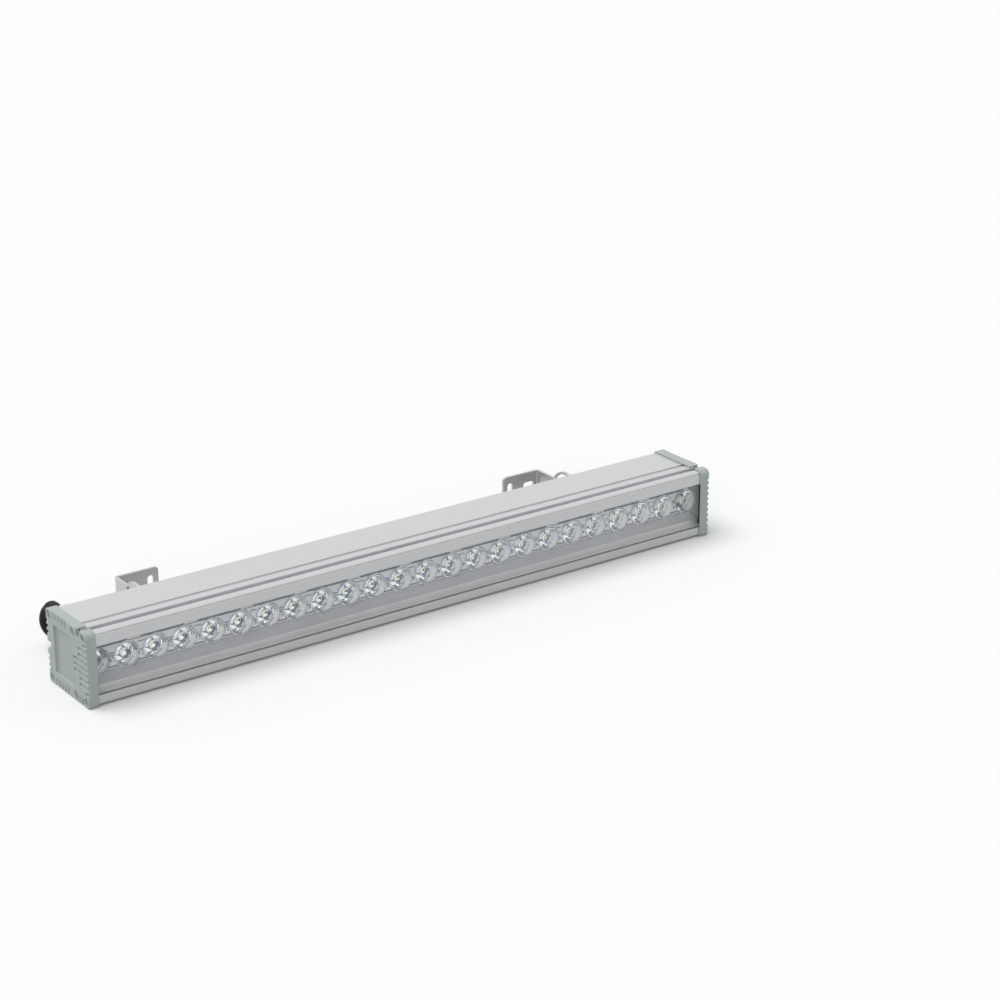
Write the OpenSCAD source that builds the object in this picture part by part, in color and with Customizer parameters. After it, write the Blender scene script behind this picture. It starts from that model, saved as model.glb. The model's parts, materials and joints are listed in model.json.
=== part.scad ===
// Outdoor wall washer light: an extruded aluminium body with a row of lensed LEDs behind glass,
// carried by two swivelling steel brackets that slide in a T-slot along its back.
// X runs along the body, the glass faces -Y, and the body rests on its end caps at Z = 0.
// The origin is on that surface, under the middle of the light with its brackets.
// Y is worked out from the front of the end caps, and from_front() brings it to the origin.

/* [Body] */
// Overall length over the end caps
body_len = 600; // [420:10:1200]
// Depth of the end caps, front to back
cap_d = 65; // [64:0.5:80]
// Height of the end caps
cap_h = 61; // [60:0.5:70]
// Length of an end cap along the body
cap_len = 9; // [7:0.5:14]
// Wall of an end cap behind its outer face
cap_wall = 3.2; // [3:0.1:4]
// Thickness of the end cap's rim around the housing
cap_rim = 1.5; // [1.2:0.1:2]
// Thickness of the end gasket
gasket_t = 0.8; // [0.5:0.1:1.2]

/* [Housing] */
// Outer walls of the extrusion
housing_wall = 2.2; // [1.8:0.1:2.6]
// Web that carries the LED board
web_t = 2.5; // [2:0.1:3]
// Depth from the front of the caps to the web
web_y = 27.6; // [26:0.1:28]
// Rounding of the front top edge
corner_r = 3; // [1:0.5:3.5]
// Rounding of the other long edges
edge_r = 0.8; // [0.4:0.1:1.4]
// Height of the lip under the glass
lower_lip = 6.9; // [6.5:0.1:8]
// Height of the lip above the glass
upper_lip = 10.6; // [10:0.1:12]
// Thickness of both lips
lip_t = 1.8; // [1.5:0.1:2]
// Width of the mouth of a T-slot
slot_w = 6; // [5.5:0.1:6.5]
// Width of a T-slot inside
slot_in_w = 10; // [9.5:0.1:10.5]
// Depth of a T-slot inside
slot_in_h = 3.6; // [3.4:0.1:4]
// Thickness of the lips beside a T-slot's mouth
slot_lip = 2; // [1.6:0.1:2.2]
// Middle of the top T-slot, from the front of the caps
top_slot_y = 12.6; // [12:0.1:13.5]

/* [Glass and light] */
// Thickness of the glass
glass_t = 4; // [3:0.5:4]
// Rubber around the glass edge
seal_t = 1; // [0.8:0.1:1]
// Distance between two LEDs
led_pitch = 24.75; // [24:0.1:40]
// Diameter of a lens
lens_d = 21.8; // [16:0.1:22]
// Height of a lens over the board
lens_h = 11.4; // [9:0.1:12]
// Height of the LED board
board_h = 28; // [24:0.5:29]
// Thickness of the LED board
board_t = 1.6; // [1:0.1:2]

/* [Bracket] */
// From the end of the body to the outer face of the fin
bracket_inset = 87.6; // [80:0.1:150]
// Width of the plate on the housing
plate_w = 40; // [36:0.5:50]
// Height of the plate on the housing
plate_h = 36.5; // [35:0.5:40]
// Sheet thickness of the plate and the bracket
sheet_t = 2.2; // [1.8:0.1:2.5]
// From the back of the housing to the pivot
pivot_reach = 24.6; // [24:0.1:30]
// Radius of the fin around the pivot
fin_r = 20.3; // [20:0.1:21]
// From the pivot to the wall
wall_reach = 40.4; // [38:0.1:50]
// Width of the bracket's strip
strip_w = 24; // [20:0.5:26]
// Length of the wall flange
flange_len = 39; // [36:0.5:50]
// Width of the slots for the wall screws
wall_slot_w = 5.5; // [4.5:0.1:6]
// Length of the slots for the wall screws
wall_slot_len = 11; // [9:0.5:13]

/* [Fasteners] */
// Thread of the plate screws and clamp bolts
screw_d = 4; // [3.5:0.1:4.2]
// Diameter of the holes in the plate
plate_hole_d = 5.3; // [4.5:0.1:5.6]
// Thread of the pivot bolts
pivot_d = 5; // [4:0.5:5]
// Thread of the end cap screws
cap_screw_d = 2.9; // [2.5:0.1:2.9]

/* [Lead] */
// Diameter of the supply lead
cord_d = 6.3; // [5:0.1:6.4]
// From the end of the body to the cable gland
gland_inset = 22.7; // [20:0.1:30]
// From the middle of the body's height up to the cable gland
gland_rise = 15; // [14.5:0.1:15.5]
// Size of the gland across its flats
gland_af = 15; // [14:0.1:15]
// Thread of the gland
gland_d = 12; // [11:0.1:12.2]
// Height that the gland stands out of the housing
gland_len = 21; // [19:0.5:24]

/* [Hidden] */
$fn = 48;

// Shared allowances
over = 1;
fit_gap = 0.1;
run_gap = 0.05;
sheet_gap = 0.15;
thread_gap = 0.05;
thread_end = 1;

// Housing section, as Y from the front and Z from the bottom
house_y0 = cap_rim + fit_gap;
house_y1 = cap_d - house_y0;
house_z0 = house_y0;
house_z1 = cap_h - house_y0;
house_x = body_len / 2 - cap_wall - gasket_t;
slot_z = cap_h / 2;
slot_deep = slot_lip + slot_in_h;
slot_wall = 2;
lip_y = house_y0 + lip_t;
channel_y = lip_y + glass_t + 2 * seal_t;
lower_z = house_z0 + lower_lip;
upper_z = house_z1 - upper_lip;
lip_cover = 2.3;
channel_z0 = lower_z - lip_cover;
channel_z1 = upper_z + lip_cover;
ledge_w = 1.4;
ledge_rise = 0.4;
floor_rise = 4.9;
floor_back_rise = 7.8;
hollow_h = 7.2;
groove_y = 24.6;
groove_w = 4;
groove_deep = 1.5;
line_drop = 1;
line_w = 1;
line_deep = 1.2;
port_inset = 2.8;
port_top = 2.8;
port_mid_y = 21.2;
port_bore = cap_screw_d - 0.4 * cap_screw_d / 2.9;
port_wall = 1.6;
ports = [for (y = [house_y0 + port_inset, port_mid_y, house_y1 - port_top],
              z = [house_z0 + port_inset, house_z1 - port_top]) [y, z]];
web_back = web_y + web_t;
back_wall_y = house_y1 - housing_wall;
block_half = slot_in_w / 2 + slot_wall;

// End cap details
flute_r = 1.3;
flute_pitch = 4.95;
flute_mid_z = cap_h / 2 + 0.5 * flute_r;
flute_short = 4.5;
flute_mid = 13;
flute_long = 21;
top_flute_y = 42.9;
low_flute_y = 12.2;
flute_end = 5.4;
notch_deep = 6;
panel_y = [23.6, 53.8];
panel_z = [10.5, 50.5];
panel_deep = 1;
panel_r = 2;
head_hole_d = 6.2;
head_hole_deep = 2;
cap_head_d = 5.6;
cap_head_h = 1.8;
cap_screw_len = 14;

// Light unit
pad_t = 0.5;
board_face = web_y - pad_t - board_t;
led_z = cap_h / 2;
board_x = house_x - 3 * fit_gap;
led_count = floor((2 * board_x - lens_d) / led_pitch) + 1;
led_x = [for (i = [0 : led_count - 1]) (i - (led_count - 1) / 2) * led_pitch];
chip_w = 3.5;
chip_h = 0.8;
chip_dome = 2.6;
lens_foot = 0.6;
lens_leg_d = 1.6;
lens_base_d = 10;
lens_rim = 1.3;
lens_eye_d = 6.4;
lens_eye_h = 3.8;
board_screw_d = 3;
board_head_d = 5.6;
board_head_h = 1.8;
board_screw_off = 11;
board_screw_gaps = [for (i = [1 : 4 : led_count - 2]) i];
lead_d = 1.8;
lead_hole_d = 4.4;
lead_x = led_x[0] + led_pitch / 2;
lead_z = led_z + board_screw_off;

// Driver in the rear chamber
driver_len = 170;
driver_from_end = 106;
driver_wall = 1.2;
driver_pad_t = 1;
driver_pad_w = 24;
driver_back_gap = 4.7;
driver_side_gap = 8.2;
driver_deep = house_y1 - slot_deep - slot_wall - driver_back_gap - web_back - driver_pad_t;
driver_h = house_z1 - house_z0 - 2 * housing_wall - 2 * driver_side_gap;
driver_x = [-house_x + driver_from_end, -house_x + driver_from_end + driver_len];
driver_y = [web_back + driver_pad_t, web_back + driver_pad_t + driver_deep];
driver_z = [slot_z - driver_h / 2, slot_z + driver_h / 2];
driver_mid_y = (driver_y[0] + driver_y[1]) / 2;
driver_post_d = 6;
driver_screw_d = 2.5;
pcb_t = 1.6;
pcb_rise = 3;
pcb_gap = 1;
coil_w = 22;
coil_h = 20;
core_w = 27;
core_h = 10;
coil_deep_share = 0.8;
core_deep_share = 0.73;
big_capacitor_d = 10;
small_capacitor_d = 6.3;
big_capacitor_share = 0.77;
small_capacitor_share = 0.62;
capacitor_pitch = 14;
capacitor_from_end = 33;
terminal_size = [26, 12, 16];
terminal_from_end = 52;
terminal_rise = 9.5;
terminal_x = -house_x + terminal_from_end;
terminal_z = slot_z + terminal_rise;

// Bracket set at the end with the gland
fin_x = -body_len / 2 + bracket_inset;
plate_y = house_y1 + run_gap;
pivot_y = house_y1 + pivot_reach;
pivot_z = slot_z;
wall_y = pivot_y + wall_reach;
depth = wall_y;
hole_off = 10;
hole_row = 19;
plate_edge = 10;
arc_r = 15.6;
arc_w = 4.5;
arc_from = -111.5;
arc_to = 46.5;
aim_hole_d = 4;
aim_hole_angle = 115;
fin_neck_up = 18;
flange_x = fin_x + sheet_t + sheet_gap;
inner_face = flange_x + sheet_t;
bend_r = 1.2;
far_corner_r = 3.2;
near_slot_off = 11.5;
far_slot_off = 31.6;
washer_d = 9;
washer_t = 0.8;
pan_d = 8;
pan_h = 2.8;
hex_h = 3.4;
nut_h = 3.2;
hex_af = 8;
clamp_af = 7;
nut_base = [9.5, 9.5];
nut_base_h = 3.1;
nut_neck_w = 5.5;
nut_neck_h = 1.7;
nut_seat_y = house_y1 - slot_lip - run_gap;

// Gland and lead
gland_x = -body_len / 2 + gland_inset;
gland_z = slot_z + gland_rise;
gland_tip_y = house_y1 + gland_len;
gland_washer_t = 0.8;
gland_washer_d = 14;
gland_top_d = 11;
gland_hex_h = 5;
gland_nut_h = 4;
dome_d = 14.2;
dome_tip_d = 9.6;
dome_taper = 6;
dome_lip = 1;
bush_d = 8.6;
entry_len = 6;
core_d = 2.2;
cord_r = cord_d / 2;

// Route of the free lead: X from the gland, Y from the back of the housing, Z from the surface
cord_route = [[0, 31, 45.5], [0.5, 37.5, 44.5], [0, 43, 42], [0.5, 48.5, 38], [0, 52.5, 33.5],
              [0, 56, 27], [1, 57.5, 20.5], [3.5, 58.5, 15], [7.5, 60, 10], [12.5, 61, 6.5],
              [18, 61.5, 4], [25, 62, 3.2], [36, 62.5, 3.2], [50, 64, 3.2], [64, 65.5, 3.2],
              [80, 66.5, 3.2], [100, 67, 3.2], [130, 67.5, 3.2], [160, 68, 3.2], [190, 68.5, 3.2]];
route_low = cord_route[len(cord_route) - 1].z;
route_rise_share = (gland_z - route_low) / (cord_route[0].z - route_low);
hank_from_gland = 285;
hank_from_back = 38;
hank_x = gland_x + hank_from_gland;
hank_y = house_y1 + hank_from_back;
hank_half = 60;
hank_r = 21;
hank_waist = 1.8;
hank_pitch = 7.8;
hank_turns = 1.625;
hank_rings = 24;
tie_t = 0.9;
tie_w = 9;
tail_len = 34;
cord_sides = 10;
hank_sides = 6;
end_core_len = 28;
ferrule_len = 8;
ferrule_d = 1.4;

// Bends of the leads inside, as a share of their diameter
lead_bend_share = 1.2;
lead_sides = 8;

// Helpers
module from_front() {
    translate([0, -depth / 2, 0]) children();
}

module turned() {
    translate([0, 0, 2 * slot_z]) rotate([0, 180, 0]) children();
}

module rod_x(d, x0, x1) {
    translate([x0, 0, 0]) rotate([0, 90, 0]) cylinder(d = d, h = x1 - x0);
}

module rod_y(d, y0, y1) {
    translate([0, y0, 0]) rotate([-90, 0, 0]) cylinder(d = d, h = y1 - y0);
}

module block(lo, hi) {
    translate(lo) cube(hi - lo);
}

module area(lo, hi) {
    translate(lo) square(hi - lo);
}

// A section drawn as (Y, Z), run along X
module run_x(x0, x1) {
    translate([x0, 0, 0]) rotate([90, 0, 90]) linear_extrude(x1 - x0) children();
}

// A section drawn as (X, Z), run along Y
module run_y(y0, y1) {
    translate([0, y1, 0]) rotate([90, 0, 0]) linear_extrude(y1 - y0) children();
}

// What a rounding of radius r takes off a corner at p, whose inside lies towards s
module round_off(p, s, r) {
    difference() {
        translate([s.x > 0 ? p.x - over : p.x - r, s.y > 0 ? p.y - over : p.y - r]) square(r + over);
        translate(p + r * s) circle(r);
    }
}

// Hexagonal prism along Y with flats up and down
module hex_y(af, y0, y1) {
    translate([0, y0, 0]) rotate([-90, 0, 0]) cylinder(d = af / cos(30), h = y1 - y0, $fn = 6);
}

module hex_x(af, x0, x1) {
    translate([x0, 0, 0]) rotate([0, 90, 0]) cylinder(d = af / cos(30), h = x1 - x0, $fn = 6);
}

// Curve through points, and a tube along it
function spline(p, i, t) =
    let (a = p[max(i - 1, 0)], b = p[i], c = p[i + 1], d = p[min(i + 2, len(p) - 1)])
    0.5 * ((2 * b) + (c - a) * t + (2 * a - 5 * b + 4 * c - d) * t * t
           + (3 * b - a - 3 * c + d) * t * t * t);
function smooth(p, n) = [for (i = [0 : len(p) - 2], k = [0 : n - 1]) spline(p, i, k / n),
                         p[len(p) - 1]];
function unit(v) = v / norm(v);
function ring(p, a, b, r, sides) =
    [for (k = [0 : sides - 1]) p + r * (a * cos(360 * k / sides) + b * sin(360 * k / sides))];
function heading(p, i) = unit(p[min(i + 1, len(p) - 1)] - p[max(i - 1, 0)]);
function side_axis(h) = unit(cross(h, abs(h.z) > 0.9 ? [1, 0, 0] : [0, 0, 1]));
function carry(p, h, i, a) = i == len(p) ? [] :
    let (b = unit(a - (a * h[i]) * h[i])) concat([b], carry(p, h, i + 1, b));

module tube(p, r, sides, first, last) {
    n = len(p);
    h = [for (i = [0 : n - 1]) i == 0 ? first : i == n - 1 ? last : heading(p, i)];
    a = carry(p, h, 0, side_axis(h[0]));
    rings = [for (i = [0 : n - 1]) ring(p[i], a[i], cross(h[i], a[i]), r, sides)];
    walls = [for (i = [0 : n - 2], k = [0 : sides - 1], half = [0, 1])
        let (m = (k + 1) % sides, lo = i * sides, hi = lo + sides)
        half == 0 ? [lo + k, hi + k, hi + m] : [lo + k, hi + m, lo + m]];
    polyhedron(points = [for (q = rings, v = q) v],
               faces = concat([[for (k = [0 : sides - 1]) k]], walls,
                              [[for (k = [sides - 1 : -1 : 0]) (n - 1) * sides + k]]));
}

// Points with their corners bent to r, and a lead along them
function bent(p, r) = concat([p[0]], [for (i = [1 : len(p) - 2], t = [0 : 0.25 : 1])
    p[i] - r * (1 - t) * (1 - t) * unit(p[i] - p[i - 1]) + r * t * t * unit(p[i + 1] - p[i])],
    [p[len(p) - 1]]);

module lead(points, d) {
    n = len(points);
    tube(bent(points, lead_bend_share * d), d / 2, lead_sides,
         unit(points[1] - points[0]), unit(points[n - 1] - points[n - 2]));
}

// Body and end caps
module body_outline(grow) {
    lo = [house_y0 - grow, house_z0 - grow];
    hi = [house_y1 + grow, house_z1 + grow];
    difference() {
        area(lo, hi);
        round_off([lo.x, hi.y], [1, -1], corner_r + grow);
        round_off(lo, [1, 1], edge_r + grow);
        round_off(hi, [-1, -1], edge_r + grow);
        round_off([hi.x, lo.y], [-1, 1], edge_r + grow);
    }
}

// Mouth at the origin, opening along +Y of the drawing
module t_slot() {
    area([-slot_w / 2, -slot_lip - fit_gap], [slot_w / 2, over]);
    area([-slot_in_w / 2, -slot_deep], [slot_in_w / 2, -slot_lip]);
}

module slots() {
    translate([top_slot_y, house_z1]) t_slot();
    translate([house_y1, slot_z]) rotate(-90) t_slot();
}

module port_posts() {
    for (p = ports) translate(p) circle(d = port_bore + 2 * port_wall);
}

module light_chamber() {
    back_y = channel_y + ledge_w;
    polygon([[channel_y - over, lower_z + ledge_rise], [back_y, lower_z + ledge_rise],
             [back_y, lower_z + floor_rise], [web_y, lower_z + floor_back_rise],
             [web_y, channel_z1], [back_y, channel_z1], [back_y, upper_z],
             [channel_y - over, upper_z]]);
}

module housing_section() {
    difference() {
        body_outline(0);
        area([house_y0 - over, lower_z], [lip_y + over, upper_z]);
        area([lip_y, channel_z0], [channel_y, channel_z1]);
        light_chamber();
        slots();
        area([groove_y - groove_w / 2, house_z1 - groove_deep], [groove_y + groove_w / 2, house_z1 + over]);
        area([house_y0 - over, house_z1 - line_drop - line_w], [house_y0 + line_deep, house_z1 - line_drop]);
        difference() {
            area([channel_y + ledge_w + housing_wall, house_z0 + housing_wall],
                 [web_y, house_z0 + housing_wall + hollow_h]);
            port_posts();
        }
        difference() {
            area([web_back, house_z0 + housing_wall], [back_wall_y, house_z1 - housing_wall]);
            port_posts();
            area([house_y1 - slot_deep - slot_wall, slot_z - block_half], [house_y1, slot_z + block_half]);
        }
        for (p = ports) translate(p) circle(d = port_bore);
    }
}

module housing_extrusion() {
    color("gainsboro") from_front() difference() {
        run_x(-house_x, house_x) housing_section();
        translate([gland_x, 0, gland_z])
            rod_y(gland_d + 2 * thread_gap, back_wall_y - over, house_y1 + over);
        translate([lead_x, 0, lead_z]) rod_y(lead_hole_d, web_y - over, web_back + over);
        board_holes(web_y - over, web_back + over, board_screw_d + 2 * thread_gap);
        translate([terminal_x, 0, terminal_z])
            rod_y(board_screw_d + 2 * thread_gap, web_back - web_t / 2, web_back + over);
    }
}

module flute_y(z, y0, y1) {
    translate([0, 0, z]) rod_y(2 * flute_r, y0, y1);
}

module flute_z(y, z0, z1) {
    translate([0, y, z0]) cylinder(r = flute_r, h = z1 - z0);
}

// Finger grooves in the outer face, which lies at X = 0 here
module flutes() {
    for (k = [-4 : 4]) {
        long = abs(k) == 4 ? flute_short : abs(k) > 1 ? flute_mid : flute_long;
        flute_y(flute_mid_z + k * flute_pitch, -over, long);
    }
    for (k = [-4, -3, -2, 2, 3, 4])
        flute_y(flute_mid_z + k * flute_pitch, cap_d - flute_short, cap_d + over);
    for (k = [-2 : 2]) {
        flute_z(top_flute_y + k * flute_pitch, cap_h - flute_end, cap_h + over);
        flute_z(top_flute_y + k * flute_pitch, -over, flute_end);
    }
    for (k = [-1, 1]) flute_z(low_flute_y + k * flute_pitch / 2, -over, flute_end);
}

module panel_shape() {
    for (y = [panel_y[0] + panel_r, panel_y[1] - panel_r], z = [panel_z[0] + panel_r, panel_z[1] - panel_r])
        translate([y, z]) circle(panel_r);
    area([panel_y[0] + panel_r, panel_z[0]], [panel_y[1] - panel_r, panel_z[1]]);
    area([panel_y[0], panel_z[0] + panel_r], [panel_y[1], panel_z[1] - panel_r]);
}

// Cap of the -X end
module end_cap() {
    x0 = -body_len / 2;
    difference() {
        run_x(x0, x0 + cap_len) body_outline(cap_rim + fit_gap);
        run_x(x0 + cap_wall, x0 + cap_len + over) body_outline(fit_gap);
        run_x(x0 - over, x0 + panel_deep) panel_shape();
        translate([x0, 0, 0]) flutes();
        block([x0 - over, top_slot_y - slot_w / 2, cap_h - notch_deep],
              [x0 + cap_len + over, top_slot_y + slot_w / 2, cap_h + over]);
        block([x0 - over, cap_d - notch_deep, slot_z - slot_w / 2],
              [x0 + cap_len + over, cap_d + over, slot_z + slot_w / 2]);
        for (p = ports) translate([0, p.x, p.y]) {
            rod_x(head_hole_d, x0 - over, x0 + head_hole_deep);
            rod_x(cap_screw_d + 2 * fit_gap, x0, x0 + cap_wall + over);
        }
    }
}

module end_gasket() {
    x0 = -body_len / 2 + cap_wall;
    run_x(x0, x0 + gasket_t) difference() {
        body_outline(0);
        area([channel_y + ledge_w, lower_z + floor_rise], [web_y, channel_z1]);
        area([web_back, house_z0 + 2 * housing_wall],
             [house_y1 - slot_deep - slot_wall, house_z1 - 3 * housing_wall]);
        area([top_slot_y - slot_w / 2, cap_h - notch_deep], [top_slot_y + slot_w / 2, cap_h]);
        area([cap_d - notch_deep, slot_z - slot_w / 2], [cap_d, slot_z + slot_w / 2]);
        for (p = ports) translate(p) circle(d = cap_screw_d + 2 * fit_gap);
    }
}

module cross_slot(d, deep) {
    w = d / 7;
    for (a = [0, 90]) rotate(a) translate([-d / 3, -w / 2, -deep]) cube([2 * d / 3, w, deep + over]);
}

// Pan head screw along +Z, its head's seat at Z = 0 and its shank below
module pan_screw(d, head_d, head_h, long) {
    difference() {
        union() {
            rotate_extrude() polygon([[0, 0], [head_d / 2, 0], [head_d / 2, 0.45 * head_h],
                                      [0.47 * head_d, 0.68 * head_h], [0.38 * head_d, 0.9 * head_h],
                                      [0.25 * head_d, head_h], [0, head_h]]);
            translate([0, 0, -long]) cylinder(d = d, h = long + head_h / 2);
        }
        translate([0, 0, head_h]) cross_slot(head_d, 0.55 * head_h);
    }
}

module cap_screws() {
    x0 = -body_len / 2 + head_hole_deep;
    for (p = ports) translate([x0, p.x, p.y]) rotate([0, -90, 0])
        pan_screw(port_bore - 2 * thread_gap, cap_head_d, cap_head_h, cap_screw_len);
}

module end_cap_left() {
    color("darkgray") from_front() end_cap();
}

module end_cap_right() {
    color("darkgray") from_front() mirror([1, 0, 0]) end_cap();
}

module end_gasket_left() {
    color("dimgray") from_front() end_gasket();
}

module end_gasket_right() {
    color("dimgray") from_front() mirror([1, 0, 0]) end_gasket();
}

module cap_screws_left() {
    color("silver") from_front() cap_screws();
}

module cap_screws_right() {
    color("silver") from_front() mirror([1, 0, 0]) cap_screws();
}

// Glass with its rubber edges
module front_glass() {
    color("lightcyan", 0.4) from_front()
        block([-house_x, lip_y + seal_t, channel_z0 + seal_t],
              [house_x, channel_y - seal_t, channel_z1 - seal_t]);
}

// Rubber channel with its mouth up, its base at Z = 0
module glass_seal(front_h, back_h) {
    run_x(-house_x, house_x) difference() {
        union() {
            area([lip_y, 0], [lip_y + glass_t / 2 + seal_t, front_h]);
            area([lip_y + glass_t / 2 + seal_t, 0], [channel_y, back_h]);
        }
        area([lip_y + seal_t, seal_t], [channel_y - seal_t, front_h + over]);
    }
}

module glass_seal_lower() {
    color("black") from_front() translate([0, 0, channel_z0])
        glass_seal(lip_cover + 1.3 * seal_t, lip_cover + ledge_rise);
}

module glass_seal_upper() {
    color("black") from_front() translate([0, 0, channel_z1]) mirror([0, 0, 1])
        glass_seal(lip_cover + 1.3 * seal_t, lip_cover);
}

// Light unit
module board_holes(y0, y1, d) {
    for (i = board_screw_gaps) translate([led_x[i] + led_pitch / 2, 0, led_z - board_screw_off])
        rod_y(d, y0, y1);
}

module led_board() {
    color("whitesmoke") from_front() difference() {
        block([-board_x, board_face, led_z - board_h / 2],
              [board_x, board_face + board_t, led_z + board_h / 2]);
        board_holes(board_face - over, web_y, board_screw_d + 2 * fit_gap);
        translate([lead_x, 0, lead_z]) rod_y(lead_hole_d, board_face - over, web_y);
    }
}

module thermal_pad() {
    color("lightgray") from_front() difference() {
        block([-board_x, board_face + board_t, led_z - board_h / 2], [board_x, web_y, led_z + board_h / 2]);
        board_holes(board_face, web_y + over, board_screw_d + 2 * fit_gap);
        translate([lead_x, 0, lead_z]) rod_y(lead_hole_d, board_face, web_y + over);
    }
}

module led_emitters() {
    color("gold") from_front() for (x = led_x) translate([x, board_face, led_z]) {
        block([-chip_w / 2, -chip_h, -chip_w / 2], [chip_w / 2, 0, chip_w / 2]);
        translate([0, -chip_h, 0]) difference() {
            sphere(d = chip_dome);
            block([-chip_dome, chip_h / 2, -chip_dome], [chip_dome, chip_dome, chip_dome]);
        }
    }
}

// Collimating lens standing on the board, towards -Y
module lens() {
    rotate([90, 0, 0]) {
        difference() {
            rotate_extrude() polygon([[0, lens_foot + lens_eye_h],
                                      [lens_eye_d / 2, lens_foot + 0.8 * lens_eye_h],
                                      [lens_eye_d / 2, lens_foot], [lens_base_d / 2, lens_foot],
                                      [0.35 * lens_d, 0.42 * lens_h], [0.45 * lens_d, 0.72 * lens_h],
                                      [0.475 * lens_d, lens_h - lens_rim],
                                      [lens_d / 2, lens_h - lens_rim], [lens_d / 2, lens_h],
                                      [0, lens_h]]);
            translate([0, 0, lens_h - lens_foot]) cylinder(d = lens_leg_d, h = lens_foot + over);
        }
        for (a = [90, 210, 330]) rotate(a) translate([(lens_eye_d + lens_base_d) / 4, 0, 0])
            cylinder(d = lens_leg_d, h = lens_foot);
    }
}

module lenses() {
    color("azure", 0.5) from_front() for (x = led_x) translate([x, board_face, led_z]) lens();
}

module board_screws() {
    color("silver") from_front() for (i = board_screw_gaps)
        translate([led_x[i] + led_pitch / 2, board_face, led_z - board_screw_off]) rotate([90, 0, 0])
            pan_screw(board_screw_d, board_head_d, board_head_h, board_t + pad_t + web_t);
}

// Driver
module driver_posts(y0, y1, d) {
    for (x = [driver_x[0] + driver_post_d, driver_x[1] - driver_post_d],
         z = [driver_z[0] + driver_post_d, driver_z[1] - driver_post_d])
        translate([x, 0, z]) rod_y(d, y0, y1);
}

module driver_case() {
    back_y = driver_y[1] - driver_wall;
    color("silver") from_front() difference() {
        union() {
            difference() {
                block([driver_x[0], driver_y[0], driver_z[0]], [driver_x[1], back_y, driver_z[1]]);
                block([driver_x[0] + driver_wall, driver_y[0] + driver_wall, driver_z[0] + driver_wall],
                      [driver_x[1] - driver_wall, driver_y[1], driver_z[1] - driver_wall]);
            }
            driver_posts(driver_y[0] + driver_wall / 2, back_y, driver_post_d);
        }
        driver_posts(driver_y[0] + 2 * driver_wall, driver_y[1], driver_screw_d);
        for (x = driver_x, z = [-lead_d, lead_d]) translate([0, driver_mid_y, slot_z + z])
            rod_x(lead_d + 2 * fit_gap, x - 2 * driver_wall, x + 2 * driver_wall);
    }
}

module driver_pads() {
    color("dimgray") from_front() for (x = [driver_x[0] + driver_pad_w, driver_x[1] - 2 * driver_pad_w])
        block([x, web_back, driver_z[0] + driver_pad_t],
              [x + driver_pad_w, driver_y[0], driver_z[1] - driver_pad_t]);
}

module driver_circuit_board() {
    y0 = driver_y[0] + driver_wall + pcb_rise;
    color("seagreen") from_front() {
        difference() {
            block([driver_x[0] + 3 * driver_post_d, y0, driver_z[0] + driver_wall + pcb_gap],
                  [driver_x[1] - 3 * driver_post_d, y0 + pcb_t, driver_z[1] - driver_wall - pcb_gap]);
            translate([(driver_x[0] + driver_x[1]) / 2, 0, slot_z])
                rod_y(lead_d, y0 - over, y0 + pcb_t + over);
        }
        for (x = [driver_x[0] + 4 * driver_post_d, driver_x[1] - 4 * driver_post_d],
             z = [driver_z[0] + driver_post_d, driver_z[1] - driver_post_d]) translate([x, 0, z])
            rod_y(driver_post_d, driver_y[0] + driver_wall, y0 + pcb_t / 2);
    }
}

parts_y = driver_y[0] + driver_wall + pcb_rise + pcb_t;
parts_room = driver_y[1] - driver_wall - parts_y;

module driver_inductor() {
    coil = [coil_w, coil_deep_share * parts_room, coil_h];
    core = [core_w, core_deep_share * parts_room, core_h];
    mid_x = (driver_x[0] + driver_x[1]) / 2;
    color("goldenrod") from_front() for (size = [coil, core])
        block([mid_x - size.x / 2, parts_y, slot_z - size.z / 2],
              [mid_x + size.x / 2, parts_y + size.y, slot_z + size.z / 2]);
}

module driver_capacitors() {
    color("darkslateblue") from_front() {
        for (k = [0, 1]) translate([driver_x[0] + capacitor_from_end + k * capacitor_pitch, 0, slot_z])
            rod_y(big_capacitor_d, parts_y, parts_y + big_capacitor_share * parts_room);
        for (k = [0 : 2]) translate([driver_x[1] - capacitor_from_end - k * capacitor_pitch, 0, slot_z])
            rod_y(small_capacitor_d, parts_y, parts_y + small_capacitor_share * parts_room);
    }
}

module driver_cover() {
    color("gainsboro") from_front() difference() {
        block([driver_x[0], driver_y[1] - driver_wall, driver_z[0]],
              [driver_x[1], driver_y[1], driver_z[1]]);
        driver_posts(driver_y[0], driver_y[1] + over, driver_screw_d + 2 * fit_gap);
    }
}

module driver_cover_screws() {
    color("silver") from_front()
        for (x = [driver_x[0] + driver_post_d, driver_x[1] - driver_post_d],
             z = [driver_z[0] + driver_post_d, driver_z[1] - driver_post_d])
            translate([x, driver_y[1], z]) rotate([-90, 0, 0])
                pan_screw(driver_screw_d - 2 * thread_gap, 2 * driver_screw_d,
                          0.6 * driver_screw_d, driver_deep / 2);
}

terminal_y = web_back + terminal_size.y;
terminal_hole = core_d + 2 * fit_gap;

module terminal_block() {
    s = terminal_size;
    hole_y = terminal_y - s.y / 3;
    color("ivory") from_front() translate([terminal_x, 0, terminal_z]) difference() {
        block([-s.x / 2, web_back, -s.z / 2], [s.x / 2, terminal_y, s.z / 2]);
        rod_y(board_screw_d + 2 * fit_gap, web_back - over, terminal_y + over);
        rod_y(board_head_d + 2 * fit_gap, hole_y, terminal_y + over);
        for (k = [-1, 1], side = [-1, 1]) translate([side * s.x / 3, 0, k * s.z / 3])
            rod_y(terminal_hole, hole_y, terminal_y + over);
    }
}

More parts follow.
